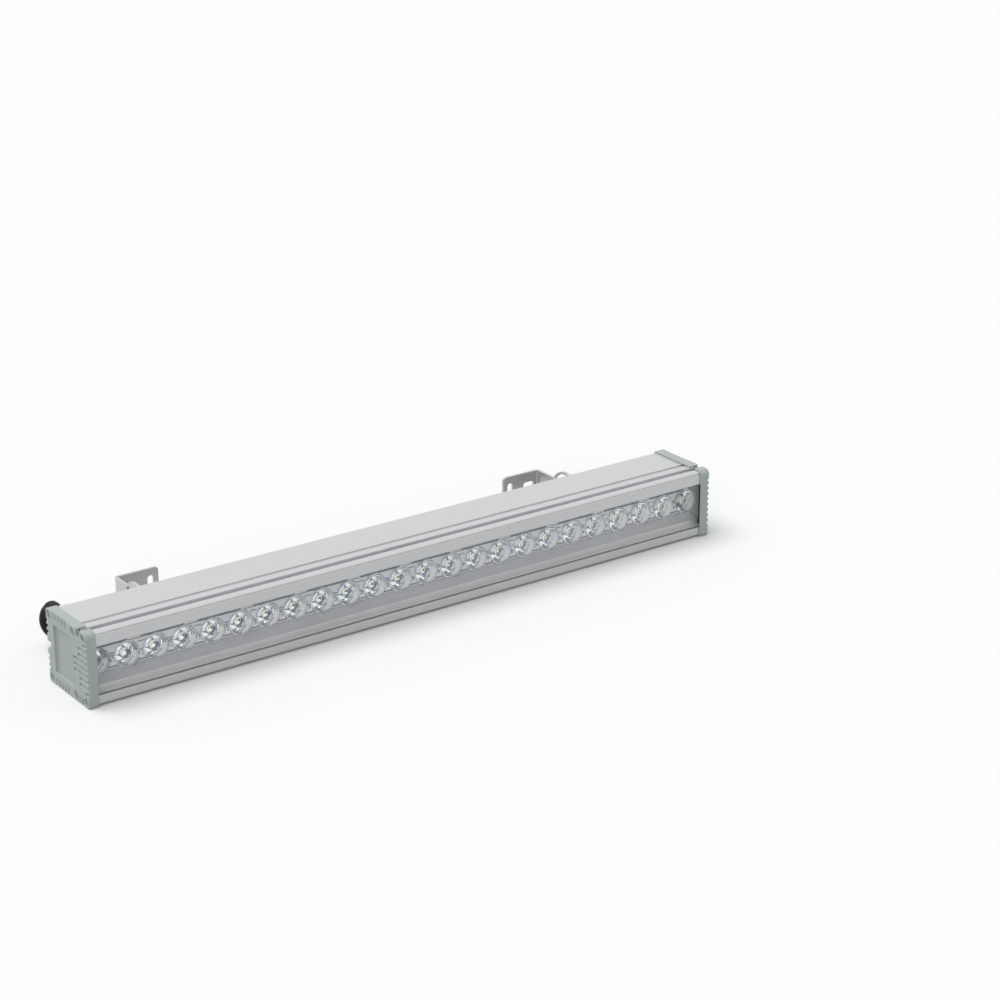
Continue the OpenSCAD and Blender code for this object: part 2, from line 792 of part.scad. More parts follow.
module terminal_screw() {
    color("silver") from_front() translate([terminal_x, terminal_y - terminal_size.y / 3, terminal_z])
        rotate([-90, 0, 0]) pan_screw(board_screw_d, board_head_d, board_head_h,
                                      2 * terminal_size.y / 3 + web_t / 3);
}

entry_y = back_wall_y - entry_len;

// Two cores from the lead's stripped end to the block
module supply_cores() {
    s = terminal_size;
    color("saddlebrown") from_front() for (k = [-1, 1]) {
        from = [gland_x, entry_y, gland_z + k * core_d / 1.8];
        to = [terminal_x - s.x / 3, terminal_y - s.y / 3 + fit_gap, terminal_z + k * s.z / 3];
        lead([from, from - [0, 2 * core_d, 0], [to.x, from.y - 4 * core_d, to.z], to], core_d);
    }
}

module driver_input_leads() {
    s = terminal_size;
    color("steelblue") from_front() for (k = [-1, 1]) {
        from = [terminal_x + s.x / 3, terminal_y - s.y / 3 + fit_gap, terminal_z + k * s.z / 3];
        to = [driver_x[0] + 2 * driver_wall, driver_mid_y, slot_z + k * lead_d];
        near = [driver_x[0] - 4 * lead_d, driver_mid_y, to.z];
        lead([from, from + [0, s.y / 3 + 2 * lead_d, 0], near, to], lead_d);
    }
}

// Pair from the driver's far end along the bottom of the chamber and through the web
module led_leads() {
    low_z = house_z0 + housing_wall + lead_d;
    far_x = driver_x[1] + 4 * lead_d;
    color("firebrick") from_front() for (k = [0, 1]) {
        y = web_back + (1 + 1.4 * k) * lead_d;
        from = [driver_x[1] - 2 * driver_wall, driver_mid_y, slot_z + (2 * k - 1) * lead_d];
        through = [lead_x + (k - 0.5) * 1.15 * lead_d, 0, lead_z];
        turn_x = far_x + 3 * k * lead_d;
        lead([from, [turn_x, from.y, from.z], [turn_x, y, low_z], [through.x, y, low_z],
              [through.x, y, through.z], [through.x, board_face, through.z]], lead_d);
    }
}

// Cable gland
module gland_body() {
    y0 = house_y1 + gland_washer_t;
    color("white") from_front() translate([gland_x, 0, gland_z]) difference() {
        union() {
            rod_y(gland_d, back_wall_y - gland_nut_h - thread_end, y0 + over);
            hex_y(gland_af, y0, y0 + gland_hex_h);
            rod_y(gland_top_d, y0 + gland_hex_h - over, gland_tip_y - dome_taper - thread_end);
        }
        rod_y(cord_d + 4 * fit_gap, back_wall_y - 2 * gland_nut_h, gland_tip_y);
        rod_y(bush_d + 2 * fit_gap, y0 + gland_hex_h, gland_tip_y);
    }
}

module gland_washer() {
    color("dimgray") from_front() translate([gland_x, 0, gland_z]) difference() {
        rod_y(gland_washer_d, house_y1, house_y1 + gland_washer_t);
        rod_y(gland_d + 2 * fit_gap, house_y1 - over, house_y1 + gland_washer_t + over);
    }
}

module gland_locknut() {
    color("white") from_front() translate([gland_x, 0, gland_z]) difference() {
        hex_y(gland_af, back_wall_y - gland_nut_h, back_wall_y);
        rod_y(gland_d + 2 * thread_gap, back_wall_y - gland_nut_h - over, back_wall_y + over);
    }
}

module gland_bush() {
    y0 = house_y1 + gland_washer_t + gland_hex_h + thread_gap;
    color("black") from_front() translate([gland_x, 0, gland_z]) difference() {
        rod_y(bush_d, y0, gland_tip_y - dome_lip);
        rod_y(cord_d + 2 * thread_gap, y0 - over, gland_tip_y);
    }
}

module gland_nut() {
    y0 = house_y1 + gland_washer_t + gland_hex_h + fit_gap;
    top = gland_tip_y - y0;
    inner = gland_top_d / 2 + thread_gap;
    seat = top - dome_lip + thread_gap;
    mouth = cord_r + 2 * fit_gap;
    color("white") from_front() translate([gland_x, y0, gland_z]) rotate([-90, 0, 0]) difference() {
        rotate_extrude() polygon([[inner, 0], [dome_d / 2, 0], [dome_d / 2, top - dome_taper],
                                  [0.46 * dome_d, top - 0.62 * dome_taper],
                                  [0.4 * dome_d, top - 0.25 * dome_taper],
                                  [dome_tip_d / 2, top], [mouth, top], [mouth, seat],
                                  [inner, seat]]);
        for (a = [0 : 60 : 300]) rotate(a) translate([0.48 * dome_d, -dome_d, -over])
            cube([dome_d, 2 * dome_d, top - dome_taper]);
    }
}

module cord_entry() {
    color("#222222") from_front() translate([gland_x, 0, gland_z]) rod_y(cord_d, entry_y, gland_tip_y);
}

// Free lead, swept along its route, whose fall follows the gland's height
function route_z(p) = route_low + route_rise_share * (p.z - route_low);
cord_points = smooth(concat([[gland_x, gland_tip_y, gland_z], [gland_x, gland_tip_y + cord_d, gland_z]],
                            [for (p = cord_route) [gland_x + p.x, house_y1 + p.y, route_z(p)]]), 2);

// Hank: a flat spiral of long loops, drawn in at the waist where the tie holds it
function hank_size(s) = hank_pitch * (hank_turns - s);
function hank_run(x, s) =
    let (w = hank_waist + hank_size(s), r = hank_r - hank_pitch * (hank_turns - 1.25) + hank_size(s))
    w + (r - w) * (1 - cos(180 * abs(x) / hank_half)) / 2;
function hank_bulb(s) = hank_r - hank_pitch * (hank_turns - 1.25) + hank_size(s);
// How far out the strand at s reaches beside the tie, along its straight step from the waist
hank_step_x = 8 * hank_half / hank_rings;
function strand_edge(s) =
    let (step_share = tie_w / 2 / hank_step_x)
    hank_run(0, s) + (hank_run(hank_step_x, s) - hank_run(0, s)) * step_share + cord_r + 2 * fit_gap;
function hank_lift(x) = (tie_t + fit_gap) * (1 + cos(180 * min(abs(x), hank_half) / hank_half)) / 2;
function hank_point(s) =
    let (q = s - floor(s), u = (q % 0.25) * 4, side = q < 0.5 ? 1 : -1,
         on_run = q < 0.25 || (q >= 0.5 && q < 0.75),
         x = on_run ? side * hank_half * (2 * u - 1) : side * (hank_half + hank_bulb(s) * sin(180 * u)),
         y = on_run ? side * hank_run(x, s) : side * hank_bulb(s) * cos(180 * u))
    [x, y, cord_r + hank_lift(x)];
hank_steps = round(hank_turns * hank_rings);
hank_last = hank_point(hank_turns);
hank_path = concat([[-hank_half - cord_d, hank_bulb(0), cord_r]],
                   [for (i = [0 : hank_steps - 1]) hank_point(i * hank_turns / hank_steps)],
                   [for (share = [0, 0.35, 0.7, 1]) hank_last - share * [tail_len, 0, tie_t]]);
hank_world = [for (p = hank_path) [hank_x + p.x, hank_y + p.y, p.z]];
cord_all = concat(cord_points, [hank_world[0]]);

// Least distance between parts of the hank further apart along it than two diameters
function seg_gap(p, a, b) =
    let (u = b - a, t = max(0, min(1, ((p - a) * u) / (u * u)))) norm(p - a - t * u);
hank_gap = min([for (i = [0 : len(hank_path) - 1], j = [0 : len(hank_path) - 2])
    if (abs(i - j) > 4) seg_gap(hank_path[i], hank_path[j], hank_path[j + 1])]) - cord_d;
function path_len(p) = [for (i = [0 : len(p) - 2]) norm(p[i + 1] - p[i])] * [for (i = [0 : len(p) - 2]) 1];
echo(hank_gap = hank_gap, free_len = path_len(cord_all), hank_len = path_len(hank_path));

module supply_cord() {
    color("#222222") from_front() tube(cord_all, cord_r, cord_sides, [0, 1, 0], [1, 0, 0]);
}

module cord_hank() {
    color("#222222") from_front() tube(hank_world, cord_r, hank_sides, [1, 0, 0], [-1, 0, 0]);
}

// Strap round the four strands at the waist
module cord_tie() {
    lo = -strand_edge(0.625);
    hi = strand_edge(0.125);
    top = tie_t + cord_d + 2 * fit_gap;
    color("black") from_front() translate([hank_x, hank_y, 0]) run_x(-tie_w / 2, tie_w / 2) difference() {
        area([lo - tie_t, 0], [hi + tie_t, top + tie_t]);
        area([lo, tie_t], [hi, top]);
    }
}

// Bare cores with ferrules at the lead's far end
module cord_end_cores() {
    end = hank_world[len(hank_world) - 1];
    color("saddlebrown") from_front() for (side = [-1, 1]) {
        translate([0, end.y + side * core_d / 1.8, end.z]) {
            rod_x(core_d, end.x - end_core_len, end.x);
            rod_x(ferrule_d, end.x - end_core_len - ferrule_len, end.x - end_core_len);
        }
    }
}

// Bracket set, drawn for the gland end
plate_lo = pivot_z - plate_edge;
plate_hi = plate_lo + plate_h;
plate_mid_x = fin_x + plate_w / 2;
plate_out = plate_y + sheet_t;

module slide_plate() {
    difference() {
        union() {
            block([fin_x, plate_y, plate_lo], [fin_x + plate_w, plate_out, plate_hi]);
            run_x(fin_x, fin_x + sheet_t) {
                translate([pivot_y, pivot_z]) circle(fin_r, $fn = 96);
                area([plate_y, plate_lo], [pivot_y - fin_r / 2, pivot_z + fin_neck_up - over]);
            }
        }
        for (x = [-hole_off, hole_off], z = [0, hole_row]) translate([plate_mid_x + x, 0, pivot_z + z])
            rod_y(plate_hole_d, plate_y - over, plate_out + over);
        translate([0, 0, plate_lo - over]) linear_extrude(plate_h + 2 * over)
            round_off([fin_x, plate_y], [1, 1], sheet_t);
        translate([0, pivot_y, pivot_z]) rod_x(pivot_d + 2 * run_gap, fin_x - over, fin_x + sheet_t + over);
        translate([0, pivot_y + arc_r * cos(aim_hole_angle), pivot_z + arc_r * sin(aim_hole_angle)])
            rod_x(aim_hole_d, fin_x - over, fin_x + sheet_t + over);
        run_x(fin_x - over, fin_x + sheet_t + over) translate([pivot_y, pivot_z]) arc_slot();
    }
}

module arc_slot() {
    difference() {
        intersection() {
            circle(arc_r + arc_w / 2, $fn = 96);
            polygon(concat([[0, 0]], [for (k = [0 : 6]) let (a = arc_from + k * (arc_to - arc_from) / 6)
                                      2 * arc_r * [cos(a), sin(a)]]));
        }
        circle(arc_r - arc_w / 2, $fn = 96);
    }
    for (a = [arc_from, arc_to]) rotate(a) translate([arc_r, 0]) circle(d = arc_w + fit_gap);
}

module slot_nuts() {
    for (x = [-hole_off, hole_off]) translate([plate_mid_x + x, nut_seat_y, slot_z]) difference() {
        union() {
            block([-nut_base.x / 2, -nut_base_h, -nut_base.y / 2], [nut_base.x / 2, 0, nut_base.y / 2]);
            block([-nut_base.x / 2, -over, -nut_neck_w / 2], [nut_base.x / 2, nut_neck_h, nut_neck_w / 2]);
        }
        rod_y(screw_d + 2 * thread_gap, -nut_base_h - over, nut_neck_h + over);
    }
}

module slot_washers() {
    for (x = [-hole_off, hole_off]) translate([plate_mid_x + x, 0, slot_z]) difference() {
        rod_y(washer_d, plate_out, plate_out + washer_t);
        rod_y(screw_d + 4 * fit_gap, plate_out - over, plate_out + washer_t + over);
    }
}

module slot_screws() {
    long = plate_out + washer_t - (nut_seat_y - nut_base_h) - thread_gap;
    for (x = [-hole_off, hole_off]) translate([plate_mid_x + x, plate_out + washer_t, slot_z])
        rotate([-90, 0, 0]) pan_screw(screw_d, pan_d, pan_h, long);
}

module wall_bracket() {
    bend_out = bend_r + sheet_t;
    inner_y = wall_y - sheet_t;
    far_x = flange_x + flange_len;
    difference() {
        union() {
            run_x(flange_x, flange_x + sheet_t) {
                translate([pivot_y, pivot_z]) circle(d = strip_w, $fn = 96);
                area([pivot_y, pivot_z - strip_w / 2], [wall_y - bend_out, pivot_z + strip_w / 2]);
            }
            translate([flange_x + bend_out, wall_y - bend_out, pivot_z - strip_w / 2])
                rotate(90) rotate_extrude(angle = 90) area([bend_r, 0], [bend_out, strip_w]);
            run_y(inner_y, wall_y) difference() {
                area([flange_x + bend_out, pivot_z - strip_w / 2], [far_x, pivot_z + strip_w / 2]);
                for (s = [-1, 1]) round_off([far_x, pivot_z - s * strip_w / 2], [-1, s], far_corner_r);
            }
        }
        translate([0, pivot_y, pivot_z])
            rod_x(pivot_d + 2 * run_gap, flange_x - over, inner_face + over);
        translate([0, pivot_y + arc_r, pivot_z])
            rod_x(screw_d + 2 * fit_gap, flange_x - over, inner_face + over);
        translate([flange_x + near_slot_off, 0, pivot_z]) wall_slot();
        translate([flange_x + far_slot_off, 0, pivot_z]) rotate([0, 90, 0]) wall_slot();
    }
}

module wall_slot() {
    end_x = (wall_slot_len - wall_slot_w) / 2;
    y = [wall_y - sheet_t - over, wall_y + over];
    for (x = [-end_x, end_x]) translate([x, 0, 0]) rod_y(wall_slot_w, y[0], y[1]);
    block([-end_x, y[0], -wall_slot_w / 2], [end_x, y[1], wall_slot_w / 2]);
}

module flat_washer_x(x0, x1, d, hole) {
    difference() {
        rod_x(d, x0, x1);
        rod_x(hole, x0 - over, x1 + over);
    }
}

// Hexagon bolt along +X with its head at the fin's outer face
module hex_bolt(d, af, x_head, x_end) {
    hex_x(af, x_head - hex_h, x_head);
    rod_x(d, x_head - hex_h / 2, x_end);
}

module pivot_bolt() {
    translate([0, pivot_y, pivot_z])
        hex_bolt(pivot_d, hex_af, fin_x, inner_face + sheet_gap + washer_t + nut_h + thread_end);
}

module pivot_washer() {
    x0 = inner_face + sheet_gap;
    translate([0, pivot_y, pivot_z]) flat_washer_x(x0, x0 + washer_t, washer_d, pivot_d + 2 * thread_gap);
}

module pivot_nut() {
    x0 = inner_face + sheet_gap + washer_t;
    translate([0, pivot_y, pivot_z]) difference() {
        hex_x(hex_af, x0, x0 + nut_h);
        rod_x(pivot_d + 2 * thread_gap, x0 - over, x0 + nut_h + over);
    }
}

module clamp_washer() {
    x0 = fin_x - sheet_gap;
    translate([0, pivot_y + arc_r, pivot_z])
        flat_washer_x(x0 - washer_t, x0, washer_d, screw_d + 2 * thread_gap);
}

module clamp_bolt() {
    translate([0, pivot_y + arc_r, pivot_z])
        hex_bolt(screw_d, clamp_af, fin_x - sheet_gap - washer_t, inner_face + nut_h + thread_end);
}

module clamp_nut() {
    translate([0, pivot_y + arc_r, pivot_z]) difference() {
        hex_x(clamp_af, inner_face, inner_face + nut_h);
        rod_x(screw_d + 2 * thread_gap, inner_face - over, inner_face + nut_h + over);
    }
}

module slide_plate_left() { color("slategray") from_front() slide_plate(); }
module slot_nuts_left() { color("silver") from_front() slot_nuts(); }
module slot_screws_left() { color("silver") from_front() slot_screws(); }
module slot_washers_left() { color("lightgray") from_front() slot_washers(); }
module pivot_bolt_left() { color("silver") from_front() pivot_bolt(); }
module pivot_nut_left() { color("lightgray") from_front() pivot_nut(); }
module wall_bracket_left() { color("lightslategray") from_front() wall_bracket(); }
module pivot_washer_left() { color("lightgray") from_front() pivot_washer(); }
module clamp_washer_left() { color("lightgray") from_front() clamp_washer(); }
module clamp_bolt_left() { color("silver") from_front() clamp_bolt(); }
module clamp_nut_left() { color("lightgray") from_front() clamp_nut(); }
module slide_plate_right() { color("slategray") from_front() turned() slide_plate(); }
module slot_nuts_right() { color("silver") from_front() turned() slot_nuts(); }
module slot_screws_right() { color("silver") from_front() turned() slot_screws(); }
module slot_washers_right() { color("lightgray") from_front() turned() slot_washers(); }
module pivot_bolt_right() { color("silver") from_front() turned() pivot_bolt(); }
module pivot_nut_right() { color("lightgray") from_front() turned() pivot_nut(); }
module wall_bracket_right() { color("lightslategray") from_front() turned() wall_bracket(); }
module pivot_washer_right() { color("lightgray") from_front() turned() pivot_washer(); }
module clamp_washer_right() { color("lightgray") from_front() turned() clamp_washer(); }
module clamp_bolt_right() { color("silver") from_front() turned() clamp_bolt(); }
module clamp_nut_right() { color("lightgray") from_front() turned() clamp_nut(); }

housing_extrusion();
end_cap_left();
end_cap_right();
end_gasket_left();
end_gasket_right();
cap_screws_left();
cap_screws_right();
front_glass();
glass_seal_lower();
glass_seal_upper();
led_board();
led_emitters();
lenses();
board_screws();
thermal_pad();
driver_case();
driver_pads();
driver_circuit_board();
driver_inductor();
driver_capacitors();
driver_cover();
driver_cover_screws();
terminal_block();
terminal_screw();
supply_cores();
driver_input_leads();
led_leads();
gland_body();
gland_washer();
gland_locknut();
gland_bush();
gland_nut();
cord_entry();
supply_cord();
cord_hank();
cord_tie();
cord_end_cores();
slide_plate_left();
slot_nuts_left();
slot_screws_left();
slot_washers_left();
pivot_bolt_left();
pivot_washer_left();
pivot_nut_left();
wall_bracket_left();
clamp_bolt_left();
clamp_washer_left();
clamp_nut_left();
slide_plate_right();
slot_nuts_right();
slot_screws_right();
slot_washers_right();
pivot_bolt_right();
pivot_washer_right();
pivot_nut_right();
wall_bracket_right();
clamp_bolt_right();
clamp_washer_right();
clamp_nut_right();
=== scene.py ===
"""Looks of the outdoor wall washer light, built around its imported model, in metres."""
import json
import math

import bmesh
import bpy
from mathutils import Matrix, Vector

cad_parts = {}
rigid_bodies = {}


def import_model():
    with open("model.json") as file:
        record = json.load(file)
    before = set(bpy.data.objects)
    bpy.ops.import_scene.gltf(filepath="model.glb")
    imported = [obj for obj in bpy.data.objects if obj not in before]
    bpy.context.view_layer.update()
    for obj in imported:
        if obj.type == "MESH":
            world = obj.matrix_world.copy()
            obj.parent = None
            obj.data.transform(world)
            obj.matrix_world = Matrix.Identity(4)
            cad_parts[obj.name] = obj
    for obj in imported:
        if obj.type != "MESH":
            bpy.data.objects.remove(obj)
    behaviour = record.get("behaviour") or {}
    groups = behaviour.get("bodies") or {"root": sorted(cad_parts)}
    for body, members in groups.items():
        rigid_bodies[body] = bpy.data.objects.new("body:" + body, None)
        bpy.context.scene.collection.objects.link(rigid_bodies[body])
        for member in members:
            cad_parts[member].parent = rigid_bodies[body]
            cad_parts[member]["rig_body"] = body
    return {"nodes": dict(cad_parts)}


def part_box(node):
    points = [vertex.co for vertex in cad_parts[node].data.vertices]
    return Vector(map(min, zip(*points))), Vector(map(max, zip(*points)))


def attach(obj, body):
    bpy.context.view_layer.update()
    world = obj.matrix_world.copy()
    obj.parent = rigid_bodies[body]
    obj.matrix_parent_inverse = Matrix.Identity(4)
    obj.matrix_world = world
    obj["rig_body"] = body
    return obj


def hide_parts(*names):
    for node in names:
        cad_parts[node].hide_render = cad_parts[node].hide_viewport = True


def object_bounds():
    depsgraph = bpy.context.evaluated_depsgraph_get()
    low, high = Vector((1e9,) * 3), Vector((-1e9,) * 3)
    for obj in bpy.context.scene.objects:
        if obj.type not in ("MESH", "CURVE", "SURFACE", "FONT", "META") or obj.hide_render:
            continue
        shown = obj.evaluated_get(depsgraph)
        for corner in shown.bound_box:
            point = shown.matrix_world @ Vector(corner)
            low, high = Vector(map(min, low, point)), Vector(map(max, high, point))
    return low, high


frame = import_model()
cad_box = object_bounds()
NODES = frame["nodes"]
MM = 0.001


# Sizes that the pieces share, in metres
LED_COUNT = 24
LED_PITCH = 24.75 * MM
LED_Z = 30.5 * MM
BOARD_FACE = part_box("led_board")[0].y
LED_CENTRES = [Vector(((i - (LED_COUNT - 1) / 2) * LED_PITCH, BOARD_FACE, LED_Z))
               for i in range(LED_COUNT)]
BOARD_REACH = 294 * MM  # half the length that the board's traces may take
CUT_MARGIN = 0.1 * MM  # how far a change of finish keeps from the faces at its border
HOUSING_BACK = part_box("housing_extrusion")[1].y
GLAND_LOW, GLAND_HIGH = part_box("gland_nut")
GLAND_X = (GLAND_LOW.x + GLAND_HIGH.x) / 2
GLAND_Z = (GLAND_LOW.z + GLAND_HIGH.z) / 2
GLAND_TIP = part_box("cord_entry")[1].y
CORD_D = 6.3 * MM


# Camera at the photograph's angle
CAMERA_PLACE = Vector((-1.0550, -1.6440, 0.8324))
CAMERA_YAW = 0.621758544
CAMERA_PITCH = 0.368074773
CAMERA_ROLL = -0.00156465274
CAMERA_LENS = 92.09
SENSOR_WIDTH = 36


def place_camera():
    """Camera from its place, its heading from +Y, how far it looks down, and its roll"""
    ahead = Vector((math.sin(CAMERA_YAW) * math.cos(CAMERA_PITCH),
                    math.cos(CAMERA_YAW) * math.cos(CAMERA_PITCH), -math.sin(CAMERA_PITCH)))
    level = Vector((math.cos(CAMERA_YAW), -math.sin(CAMERA_YAW), 0))
    above = level.cross(ahead)
    right = math.cos(CAMERA_ROLL) * level + math.sin(CAMERA_ROLL) * above
    up = -math.sin(CAMERA_ROLL) * level + math.cos(CAMERA_ROLL) * above
    camera = bpy.data.objects.new("camera", bpy.data.cameras.new("camera"))
    camera.data.lens = CAMERA_LENS
    camera.data.sensor_width = SENSOR_WIDTH
    camera.data.clip_start = 0.01
    camera.data.clip_end = 50
    turn = Matrix((right, up, -ahead)).transposed()
    camera.matrix_world = Matrix.Translation(CAMERA_PLACE) @ turn.to_4x4()
    bpy.context.scene.collection.objects.link(camera)
    bpy.context.scene.camera = camera


place_camera()


def add_node(tree, kind, **settings):
    node = tree.nodes.new(kind)
    for title, value in settings.items():
        setattr(node, title, value)
    return node


def add_range(tree, end, low, high):
    """Map Range node with the limits of one end, From or To"""
    node = tree.nodes.new("ShaderNodeMapRange")
    node.inputs[end + " Min"].default_value = low
    node.inputs[end + " Max"].default_value = high
    return node


# Node groups that several finishes use
NOISE_MIDDLE = 0.5
# Cosine between the rounded and the flat normal where a rub starts and where it is full
RUB_FACING = (0.995, 0.90)
# Noise levels between which the rub breaks up
RUB_PATCHES = (0.35, 0.62)


def new_group(name, inputs, outputs):
    group = bpy.data.node_groups.new(name, "ShaderNodeTree")
    for title, kind, value in inputs:
        socket = group.interface.new_socket(title, in_out="INPUT", socket_type=kind)
        if value is not None:
            socket.default_value = value
    for title, kind in outputs:
        group.interface.new_socket(title, in_out="OUTPUT", socket_type=kind)
    return group, group.nodes.new("NodeGroupInput"), group.nodes.new("NodeGroupOutput")


def make_fine_grain():
    """Noise with its own size along X, Y and Z, for grain, brushed lines and orange peel"""
    group, into, out = new_group(
        "fine_grain",
        [("Size", "NodeSocketVector", (1000, 1000, 1000)), ("Contrast", "NodeSocketFloat", 1.0)],
        [("Value", "NodeSocketFloat"), ("Height", "NodeSocketFloat")])
    place = group.nodes.new("ShaderNodeTexCoord")
    scale = add_node(group, "ShaderNodeVectorMath", operation="MULTIPLY")
    noise = group.nodes.new("ShaderNodeTexNoise")
    noise.inputs["Scale"].default_value = 1
    noise.inputs["Detail"].default_value = 3
    centre = add_node(group, "ShaderNodeMath", operation="SUBTRACT")
    centre.inputs[1].default_value = NOISE_MIDDLE
    stretch = add_node(group, "ShaderNodeMath", operation="MULTIPLY")
    back = add_node(group, "ShaderNodeMath", operation="ADD", use_clamp=True)
    back.inputs[1].default_value = NOISE_MIDDLE
    link = group.links.new
    link(place.outputs["Object"], scale.inputs[0])
    link(into.outputs["Size"], scale.inputs[1])
    link(scale.outputs["Vector"], noise.inputs["Vector"])
    link(noise.outputs["Fac"], centre.inputs[0])
    link(centre.outputs["Value"], stretch.inputs[0])
    link(into.outputs["Contrast"], stretch.inputs[1])
    link(stretch.outputs["Value"], back.inputs[0])
    link(back.outputs["Value"], out.inputs["Value"])
    link(noise.outputs["Fac"], out.inputs["Height"])
    return group


def make_edge_rub():
    """Mask of the edges that hands and tools rub, broken up by noise"""
    group, into, out = new_group(
        "edge_rub",
        [("Radius", "NodeSocketFloat", 0.0005), ("Patches", "NodeSocketFloat", 160.0)],
        [("Mask", "NodeSocketFloat")])
    rounded = group.nodes.new("ShaderNodeBevel")
    rounded.samples = 4
    shape = group.nodes.new("ShaderNodeNewGeometry")
    facing = add_node(group, "ShaderNodeVectorMath", operation="DOT_PRODUCT")
    edge = add_range(group, "From", *RUB_FACING)
    place = group.nodes.new("ShaderNodeTexCoord")
    noise = group.nodes.new("ShaderNodeTexNoise")
    noise.inputs["Detail"].default_value = 2
    broken = add_range(group, "From", *RUB_PATCHES)
    both = add_node(group, "ShaderNodeMath", operation="MULTIPLY")
    link = group.links.new
    link(into.outputs["Radius"], rounded.inputs["Radius"])
    link(rounded.outputs["Normal"], facing.inputs[0])
    link(shape.outputs["Normal"], facing.inputs[1])
    link(facing.outputs["Value"], edge.inputs["Value"])
    link(place.outputs["Object"], noise.inputs["Vector"])
    link(into.outputs["Patches"], noise.inputs["Scale"])
    link(noise.outputs["Fac"], broken.inputs["Value"])
    link(edge.outputs["Result"], both.inputs[0])
    link(broken.outputs["Result"], both.inputs[1])
    link(both.outputs["Value"], out.inputs["Mask"])
    return group


FINE_GRAIN = make_fine_grain()
EDGE_RUB = make_edge_rub()


def srgb(red, green, blue):
    """Linear colour of an 8-bit one"""
    def linear(value):
        value /= 255
        return value / 12.92 if value <= 0.04045 else ((value + 0.055) / 1.055) ** 2.4
    return (*(linear(v) for v in (red, green, blue)), 1)


def any_ray(tree, first, *others):
    """Mask that is 1 on rays of any of the kinds named"""
    path = tree.nodes.new("ShaderNodeLightPath")
    mask = path.outputs[f"Is {first} Ray"]
    for kind in others:
        either = add_node(tree, "ShaderNodeMath", operation="MAXIMUM")
        tree.links.new(mask, either.inputs[0])
        tree.links.new(path.outputs[f"Is {kind} Ray"], either.inputs[1])
        mask = either.outputs["Value"]
    return mask


COAT_ROUGH = 0.2
BUMP_STRENGTH = 0.6
MOTTLE_CONTRAST = 2.0
CLEAR_HAZE = (0.0, 0.03)
CLEAR_LIGHTER = 1.02
# Colour of the lamps' light that goes through clear pieces
CLEAR_PASS = (0.98, 0.985, 0.985, 1)


def place_group(tree, group, **values):
    node = tree.nodes.new("ShaderNodeGroup")
    node.node_tree = group
    for title, value in values.items():
        node.inputs[title].default_value = value
    return node


def finish(name, colour, rough, metal=0.0, grain=(1200, 1200, 1200), contrast=1.0, tone=0.05,
           swing=0.05, relief=0.00002, mottle=30.0, mottle_tone=0.03, rub=None, rub_radius=0.0005,
           coat=0.0, shine=0.5):
    """Opaque finish: a base colour that its grain and slow mottling vary, with its own relief"""
    material = bpy.data.materials.new(name)
    material.use_nodes = True
    tree = material.node_tree
    link = tree.links.new
    surface = tree.nodes["Principled BSDF"]
    surface.inputs["Metallic"].default_value = metal
    surface.inputs["Coat Weight"].default_value = coat
    surface.inputs["Coat Roughness"].default_value = COAT_ROUGH
    surface.inputs["Specular IOR Level"].default_value = shine

    fine = place_group(tree, FINE_GRAIN, Size=grain, Contrast=contrast)
    slow = place_group(tree, FINE_GRAIN, Size=(mottle, mottle, mottle), Contrast=MOTTLE_CONTRAST)
    darker = [c * (1 - tone) for c in colour[:3]] + [1]
    lighter = [min(1, c * (1 + tone)) for c in colour[:3]] + [1]
    grained = add_node(tree, "ShaderNodeMix", data_type="RGBA")
    grained.inputs["A"].default_value = darker
    grained.inputs["B"].default_value = lighter
    link(fine.outputs["Value"], grained.inputs["Factor"])
    shade = add_range(tree, "To", 1 - mottle_tone, 1 + mottle_tone)
    link(slow.outputs["Value"], shade.inputs["Value"])
    mottled = add_node(tree, "ShaderNodeVectorMath", operation="SCALE")
    link(grained.outputs["Result"], mottled.inputs[0])
    link(shade.outputs["Result"], mottled.inputs["Scale"])
    last = mottled.outputs["Vector"]
    if rub is not None:
        edges = place_group(tree, EDGE_RUB, Radius=rub_radius)
        rubbed = add_node(tree, "ShaderNodeMix", data_type="RGBA")
        rubbed.inputs["B"].default_value = rub
        link(edges.outputs["Mask"], rubbed.inputs["Factor"])
        link(last, rubbed.inputs["A"])
        last = rubbed.outputs["Result"]
    link(last, surface.inputs["Base Color"])

    gloss = add_range(tree, "To", rough - swing, rough + swing)
    link(fine.outputs["Value"], gloss.inputs["Value"])
    link(gloss.outputs["Result"], surface.inputs["Roughness"])
    bump = tree.nodes.new("ShaderNodeBump")
    bump.inputs["Strength"].default_value = BUMP_STRENGTH
    bump.inputs["Distance"].default_value = relief
    link(fine.outputs["Height"], bump.inputs["Height"])
    link(bump.outputs["Normal"], surface.inputs["Normal"])
    return material


